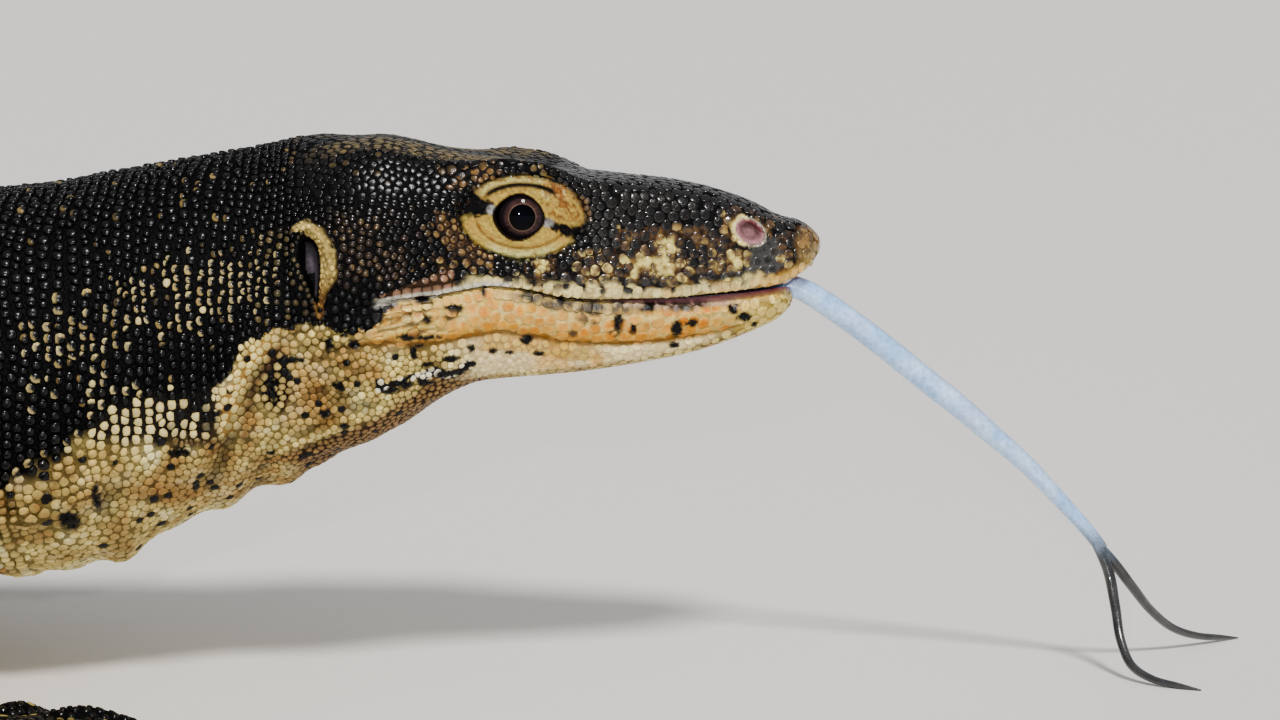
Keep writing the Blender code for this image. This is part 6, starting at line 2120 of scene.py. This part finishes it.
cap_height, softness, filled = scale_shapes()
inner = np.minimum(reach.mean(1), reach.min(1) * 1.25)[:, None]
reach = reach * (1 - softness[:, None]) + np.minimum(inner, reach * 1.05) * softness[:, None]
uneven = chance.uniform(0.88, 1.03, len(up))
reach *= (filled * np.where(softness > 0.25, uneven, 1))[:, None]
narrow = 1 - 0.16 * near(station - 140, 30) * (up > line(CREAM_LINE, station)) - 0.22 * upright_bars
cap_height *= 0.7 + 0.5 * chance.random(len(cap_height))
print("scale widths from", round(float(reach.min() * 2), 2), "to", round(float(reach.max() * 2), 2), "mm")

# %% Points of the scales
FINE_RINGS = ((1.0, -0.6), (0.93, 0.5), (0.66, 0.88))
PLAIN_RINGS = ((1.0, -0.5), (0.76, 0.75))


def ring_sizes(chosen, fine):
    """Width and height of each ring of points; rounder scales have a slightly fuller cap."""
    if not fine:
        return PLAIN_RINGS
    bead = softness[chosen][:, None, None]
    rim, shoulder, cap = FINE_RINGS
    return rim, (shoulder[0] - 0.02 * bead, shoulder[1]), (cap[0] + 0.04 * bead, cap[1] + 0.03 * bead)


def scale_points(chosen, sides, rings):
    """Points of each scale: its rings from the sunk rim up to the cap, and its tip."""
    theta = ring_angles(sides)
    wrapped = np.concatenate([reach[chosen], reach[chosen][:, :1]], axis=1)
    at = theta / (2 * math.pi) * SIDES
    low_at = at.astype(int)
    radius = wrapped[:, low_at] * (1 - at + low_at) + wrapped[:, low_at + 1] * (at - low_at)
    squeeze = narrow[chosen][:, None, None]
    spin_a = np.cos(theta)[None, :, None] * along[chosen][:, None] * squeeze
    spin_b = np.sin(theta)[None, :, None] * across[chosen][:, None]
    ray = (spin_a + spin_b) * radius[:, :, None]
    lift = root_normals[chosen] * cap_height[chosen][:, None]
    tail_end = 0.12 * np.cos(theta)[None, :, None]
    levels = [
        root_places[chosen][:, None] + ray * wide + lift[:, None] * (tall + tail_end * (number > 0))
        for number, (wide, tall) in enumerate(rings)
    ]
    levels.append((root_places[chosen] + lift)[:, None])
    co = np.concatenate(levels, axis=1)
    co[..., 2] = np.maximum(co[..., 2], FLOOR_GAP)
    return co


def scale_faces(count, sides, levels):
    """Quads between the rings of every scale, and triangles up to its tip."""
    per = sides * levels + 1
    faces = [ring_faces(level * sides, (level + 1) * sides, sides) for level in range(levels - 1)]
    faces.append(fan((levels - 1) * sides + np.arange(sides), per - 1, False))
    starts = np.arange(count) * per
    return (np.concatenate(faces)[None] + starts[:, None, None]).reshape(-1, 4)


print("faces of one plain scale:", len(scale_faces(1, SIDES - 2, len(PLAIN_RINGS))))

# %% [markdown]
# ## Colours of a scale
# A bead has one colour each for its sunk rim, its rim and its cap, and on the neck a bead can be a
# yellow crescent on black. A plate is painted point by point instead, so that a blot can cross it.
# Every scale is a little lighter or darker than the next, as worn horn is, and scales in hollows get
# painted shade.

# %% Colours of beads and plates
def bead_colours(chosen, sides, fine):
    """Colours of the points of each scale, and the share of light that the scale gives back."""
    count = len(chosen)
    cap, rim, gap = (layer[chosen] for layer in (coat_paint.cap, coat_paint.rim, coat_paint.gap))
    spread = 0.10 + 0.26 * softness[chosen]
    shade = (1 - spread + 2 * spread * chance.random(count))[:, None]
    # Painted shade: scales that sit in hollows of the skin are darker.
    shade *= 1 - 0.6 * root_hollow_shade[chosen][:, None]
    cap, rim = cap * shade, rim * shade
    rim_ring, cap_ring, gap_ring = (
        np.repeat(layer[:, None], sides, axis=1) for layer in (rim, cap, gap)
    )
    crescent = crescents[chosen] & (chance.random(count) < 0.96)
    start = chance.normal(0, 0.55, count)
    facing = np.cos(ring_angles(sides)[None, :] - start[:, None])
    lit = (facing > chance.uniform(-0.2, 0.5, count)[:, None])[crescent][..., None]
    rim_ring[crescent] = np.where(lit, cap_ring[crescent], BLACK)
    cap_ring[crescent] = np.where(lit, cap_ring[crescent] * 0.8, BLACK)
    centre = np.where(crescent[:, None], BLACK, cap)[:, None]
    layers = [gap_ring, rim_ring, cap_ring, centre] if fine else [gap_ring, cap_ring, centre]
    return np.concatenate(layers, axis=1), shade


def plate_colours(chosen, co, sides):
    """Colours of plates, painted point by point."""
    count, per, _ = co.shape
    level = np.minimum(np.arange(per) // sides, 3)
    at_points = paint(co.reshape(-1, 3), np.zeros((count * per, 3)), np.repeat(dice[chosen], per))[0]
    looks = [layer.reshape(count, per, 3) for layer in (at_points.gap, at_points.rim, at_points.cap)]
    shares = np.array([(1, 0, 0), (0, 1, 0), (0, 0.45, 0.55), (0, 0, 1)])[level]
    return sum(look * shares[None, :, k, None] for k, look in enumerate(looks))


print("crescents:", int(crescents.sum()), "beads")

# %% [markdown]
# ## Patches of the bake map
# A bake map is a flat picture of all colours of a piece, so every scale gets a small patch of its own
# on it. The patches lie as the scales do on the body: along it and round it, and for a leg down it
# and round it, with the foot spread out flat. An automatic unwrap would cut thousands of islands.

# %% Patches of the bake map
PATCH_SIZE = 0.0015
PATCH_FIELD, PATCH_EDGE = 0.996, 0.002


def lay_patches(obj, corner, sides, levels):
    """Gives the scales of a piece their patches, from a corner of the map for each scale."""
    theta = ring_angles(sides)
    wheel = np.stack([np.cos(theta), np.sin(theta)], -1)
    local = np.concatenate([wheel * (1 - 0.24 * level) for level in range(levels)] + [wheel[:1] * 0])
    local *= PATCH_SIZE
    patch = corner[:, None] * PATCH_FIELD + PATCH_EDGE + local[None]
    corners = np.empty(len(obj.data.loops), np.int32)
    obj.data.loops.foreach_get("vertex_index", corners)
    layer = obj.data.uv_layers.new(name="OFBake")
    layer.data.foreach_set("uv", patch.reshape(-1, 2)[corners].astype(np.float32).ravel())


def round_unwrap(chosen):
    """Station along and angle round the trunk, each from 0 to 1 over the piece."""
    s = station[chosen]
    around = np.where(right[chosen] >= 0, angle[chosen], -angle[chosen]) / (2 * math.pi) + 0.5
    return np.stack([(s - s.min()) / max(np.ptp(s), 1e-6), around], -1)


def leg_unwrap(chosen):
    """Share of the way down the leg and angle round it, with the foot spread out flat."""
    place = root_places[chosen]
    _, down, _ = leg_places(place)
    around = np.arctan2(root_normals[chosen][:, 2], root_normals[chosen] @ np.array([0.6, 0.8, 0.0]))
    foot = down > 0.985
    spread = np.stack([place[:, 0] - place[:, 0].min(), place[:, 1] - place[:, 1].min()], -1)
    spread = spread / max(float(spread.max()), 1e-6)
    half = np.where(root_normals[chosen][:, 2] > 0, 0.0, 0.25)
    on_foot = np.stack([0.5 + 0.25 * spread[:, 0] + half, spread[:, 1]], -1)
    on_leg = np.stack([down * 0.49, around / (2 * math.pi) + 0.5], -1)
    return np.where(foot[:, None], on_foot, on_leg)


print("the map has room for", round(1 / (2 * PATCH_SIZE)), "patches in a row")


# %% One piece of scales
def scale_piece(name, chosen, kind, unwrap):
    """One mesh of scales with their colours and patches; kind is plates, beads or plain."""
    fine = kind != "plain"
    sides = SIDES if fine else SIDES - 2
    rings = ring_sizes(chosen, fine)
    co = scale_points(chosen, sides, rings)
    colours, shade = bead_colours(chosen, sides, fine)
    if kind == "plates":
        colours = plate_colours(chosen, co, sides) * shade[:, None]
    faces = scale_faces(len(chosen), sides, len(rings))
    obj = make_mesh(name, co.reshape(-1, 3), faces, (SURFACES.get(name, scale_horn),))
    wear_colours(obj.data, colours.reshape(-1, 3))
    lay_patches(obj, unwrap(chosen), sides, len(rings))
    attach(obj, "root")
    size = sum(len(p.vertices) - 2 for p in obj.data.polygons)
    print(name, size, "triangles")
    return size


print("pieces with a finish of their own:", sorted(SURFACES))

# %% Pieces of the coat
numbers = np.arange(len(root_places))
trunk_scales = ~limb & ~on_head
jawline = smooth(LIP_UP, station)
above_mouth = on_head & (up > np.where(station < MOUTH_CORNER, jawline, 4))
groups = [
    ("scales_snout", above_mouth & (station < 58), "plates"),
    ("scales_crown", above_mouth & (station >= 58), "plates"),
    ("scales_jaw", on_head & ~above_mouth & (station < 100), "plates"),
    ("scales_throat", on_head & ~above_mouth & (station >= 100), "plates"),
]
cuts = (COAT_START - 5, 145, 175, 240, 335, 440, 545, 672, 985, 1661)
names = ("nape", "neck", "shoulders", "chest", "ribs", "flanks", "hips", "tail_root", "tail_tip")
for number, word in enumerate(names):
    span = trunk_scales & (station >= cuts[number]) & (station < cuts[number + 1])
    groups.append((f"scales_{word}", span, "beads" if number < 3 else "plain"))
coat_triangles = 0
for word, chosen, kind in groups:
    coat_triangles += scale_piece(word, numbers[chosen], kind, round_unwrap)
owner = np.full(len(root_places), -1)
owner[limb], _, _ = leg_places(root_places[limb])
for number, leg in enumerate(legs):
    chosen = numbers[owner == number]
    coat_triangles += scale_piece(f"scales_{leg['name']}", chosen, "plain", leg_unwrap)
print(coat_triangles, "triangles in the coat")

# %% [markdown]
# ## Eyes
# The eyeball is a glossy ball with a wide black pupil, blue in its middle as a painted reflection,
# and a narrow red-brown iris. Its colours are rings about the line of sight, which points out and a
# little ahead, so they are laid on the points of a ball whose pole is the middle of the pupil, where
# its rings are finest.

# %% Eyes
# The blue in the middle of the pupil is a painted reflection.
EYE_RINGS = ((0, (3, 5, 20)), (1.4, (2, 3, 10)), (2.84, (1, 1, 3)), (2.94, (128, 104, 92)),
             (3.05, (76, 54, 48)), (3.5, (62, 44, 42)), (3.9, (54, 38, 40)), (4.15, (34, 26, 30)),
             (4.7, (36, 29, 34)), (5.0, (14, 10, 12)), (7, (8, 6, 7)))
EYE_LOOK_AHEAD = 7.0
EYE_SIDES = 96


def iris_colours(ball, radius):
    """Rings of colour round the pupil, with lighter and darker spokes in the iris."""
    reach, colours = zip(*EYE_RINGS)
    colours = np.array([tone(*c) for c in colours])
    spoke = ball[:, :2] / np.maximum(np.hypot(ball[:, 0], ball[:, 1]), 0.01)[:, None] * 9
    spokes = noise(np.column_stack([spoke, radius * 1.2]), 1.0, 30)
    laid = np.stack([np.interp(radius, reach, colours[:, c]) for c in range(3)], -1)
    iris = ease(2.9, 3.0, radius) * ease(4.4, 4.1, radius)
    return laid * (1 + (0.9 * (spokes - 0.5) * iris)[:, None])


def eyeball(name, side):
    """One ball with its iris; side is 1 for the right eye."""
    bend = np.radians(np.concatenate([np.linspace(0, 50, 52)[1:], np.linspace(50, 178, 20)[1:]]))
    turn = ring_angles(EYE_SIDES)
    ring = np.stack([np.cos(turn), np.sin(turn)], -1)
    ball = [np.column_stack([ring * math.sin(b), np.full(EYE_SIDES, math.cos(b))]) for b in bend]
    ball = np.concatenate([*ball, [[0, 0, 1.0]], [[0, 0, -1.0]]])
    first = np.arange(len(bend)) * EYE_SIDES
    faces = [ring_faces(a, b, EYE_SIDES) for a, b in zip(first, first[1:])]
    faces.append(fan(np.arange(EYE_SIDES), len(ball) - 2, True))
    faces.append(fan(first[-1] + np.arange(EYE_SIDES), len(ball) - 1, False))
    radius = np.hypot(ball[:, 0], ball[:, 1]) * EYE_RADIUS
    radius = np.where(ball[:, 2] > 0, radius, EYE_RADIUS)
    laid = iris_colours(ball, radius)
    ahead = math.radians(EYE_LOOK_AHEAD)
    sight = np.array([math.sin(ahead), -side * math.cos(ahead), 0.0])
    third = np.array([0.0, 0.0, 1.0])
    second = np.cross(third, sight)
    ball = ball[:, :1] * second + ball[:, 1:2] * third + ball[:, 2:] * sight
    centre = np.array([-EYE_STATION, -side * EYE_CENTRE_OUT, EYE_UP + MOUTH_HEIGHT])
    _, faces = facing_out(ball, np.concatenate(faces))
    made = make_mesh(name, ball * EYE_RADIUS + centre, faces, (eye_wet,))
    wear_colours(made.data, laid)
    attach(made, "root")
    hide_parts(name.replace("ball", "eye"))
    return made


eye_wet = new_material("eye_wet", roughness=0.03, Specular_IOR_Level=0.16)
wear_markings(eye_wet, 0.0003, 0.02, (0.03, 0.06))
for name, side in (("ball_right", 1), ("ball_left", -1)):
    print(eyeball(name, side).name, "placed")

# %% [markdown]
# ## Tongue
# The tongue is a smooth wet cord, flattened a little, pale blue along its stem and slate at its two
# tines. Tubes are drawn along smooth paths through a few measured points and joined to one solid.

# %% Tongue
TONGUE_STEM = ((-19, 87.0, 2.2), (-11, 87.8, 2.6), (-4.7, 86.6, 2.8), (1, 83.4, 3.0),
               (6.5, 79.6, 3.0), (15.0, 73.2, 3.0), (23.0, 66.7, 3.0), (31.6, 59.9, 2.9),
               (39.1, 53.4, 2.6), (46.0, 47.5, 2.3), (54.6, 38.6, 1.95), (60.4, 32.3, 1.75),
               (64.4, 27.4, 1.6))
RIGHT_TINE = ((62.4, -0.4, 29.6, 1.0), (65.4, -1.3, 23.4, 1.25), (67.0, -4.2, 15.0, 1.15),
              (67.8, -8.4, 7.9, 1.05), (69.6, -13.0, 3.4, 1.0), (73.6, -17.4, 1.4, 0.85),
              (78.8, -20.4, 0.7, 0.65), (83.4, -22.4, 0.20, 0.14))
LEFT_TINE = ((62.4, 0.4, 29.6, 1.0), (67.2, 1.4, 24.0, 1.2), (72.6, 4.6, 17.0, 1.15),
             (77.4, 9.4, 11.0, 1.05), (83.8, 15.0, 5.4, 0.95), (90.4, 20.2, 2.4, 0.85),
             (96.6, 24.6, 1.0, 0.65), (101.4, 27.6, 0.20, 0.14))
stem = path_through([(x, 0.0, z, h) for x, z, h in TONGUE_STEM], 90)
tongue_parts = [tube(stem[:, :3], stem[:, 3] * 0.9, stem[:, 3], 32)]
for tine in (RIGHT_TINE, LEFT_TINE):
    path = path_through(tine, 70)
    tongue_parts.append(tube(path[:, :3], path[:, 3], path[:, 3], 20))
solids = []
for number, (co, faces) in enumerate(tongue_parts):
    co[:, 2] = np.maximum(co[:, 2], FLOOR_GAP)
    solids.append(make_mesh(f"tongue_{number}", *facing_out(co, faces)))
tongue = solids[0]
tongue.name = "tongue_wet_pale"
tongue_co, tongue_faces, _ = united(tongue, solids[1:])
print("tongue:", len(tongue_faces), "triangles")

# %% Colours of the tongue
SKY = tone(148, 190, 236)
FROST = tone(196, 220, 248)
LILAC = tone(178, 170, 214)
INK = tone(30, 31, 36)
sheen = mix(SKY, FROST, noise(tongue_co, 3.0, 31))
sheen = mix(sheen, LILAC, 0.65 * np.clip(noise(tongue_co, 7.0, 32) * 2 - 0.9, 0, 1))
dusk = ease(35, 24, tongue_co[:, 2] + 2.5 * (noise(tongue_co, 2.5, 33) - 0.5))
wear_colours(tongue.data, mix(sheen, mix(INK, SLATE, 0.7 * noise(tongue_co, 2.0, 34)), dusk))
tongue_skin = new_material("tongue_skin", roughness=0.25, Specular_IOR_Level=0.6, Coat_Weight=0.8)
wear_markings(tongue_skin, 0.0005, 0.5, (0.18, 0.34))
tongue.data.materials.clear()
tongue.data.materials.append(tongue_skin)
tongue.data.shade_smooth()
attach(tongue, "root")
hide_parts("tongue")
print("tongue:", int((dusk > 0.5).sum()), "of its", len(dusk), "points are slate")

# %% [markdown]
# ## Claws
# Each toe ends in a curved horn that starts inside the skin of the toe and touches the floor with
# its point. A swept tube that narrows along a curve gives it, and the five claws of a foot are one
# mesh, because they share their horn and never move apart.

# %% Claws
CLAW_ROOT = 1.2
horn = new_material("claw_horn_dark", roughness=0.25, Specular_IOR_Level=0.55)
wear_markings(horn, 0.0006, 0.4, (0.16, 0.34))


def claw_tube(path, kind):
    """Points and faces of one claw at the end of a toe path."""
    way = path[-1] - path[-2]
    way /= np.linalg.norm(way)
    flat = np.array([way[0], way[1], 0.0])
    flat /= np.linalg.norm(flat)
    length, half = CLAW[kind]
    start = path[-1] - way * CLAW_ROOT
    share = np.linspace(0, 1, 22)
    ahead = (length + CLAW_ROOT) * (share - 0.16 * share**3)
    rise = 2.1 * np.sin(math.pi * np.minimum(share * 1.25, 1)) - share**1.6 * (start[2] - 0.5)
    points = start + flat * ahead[:, None] + np.array([0, 0, 1.0]) * rise[:, None]
    size = half * (1 - share**1.4 * 0.90)
    points[:, 2] = np.maximum(points[:, 2], size + 0.12)
    return facing_out(*tube(points, size, size * 0.72, 16))


for leg in legs:
    co, faces = gathered([claw_tube(path, leg["kind"]) for path in leg["claws"]])
    made = make_mesh(f"claws_{leg['name']}", co, faces, (horn,))
    wear_colours(made.data, mix(tone(22, 19, 18), tone(74, 62, 50), noise(co, 1.2, 35) ** 2))
    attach(made, "root")
    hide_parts(*[f"claw_{leg['name']}_{toe}" for toe in range(1, 6)])
print("claws on", len(legs), "feet")

# %% [markdown]
# ## Finish
# Each piece rides on the imported body, and the imported nodes of flesh that the skin takes the
# place of are hidden.

# %% Finish
flesh = [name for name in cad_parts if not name.startswith(("eye", "claw", "tongue"))]
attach(skin, "root")
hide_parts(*flesh)
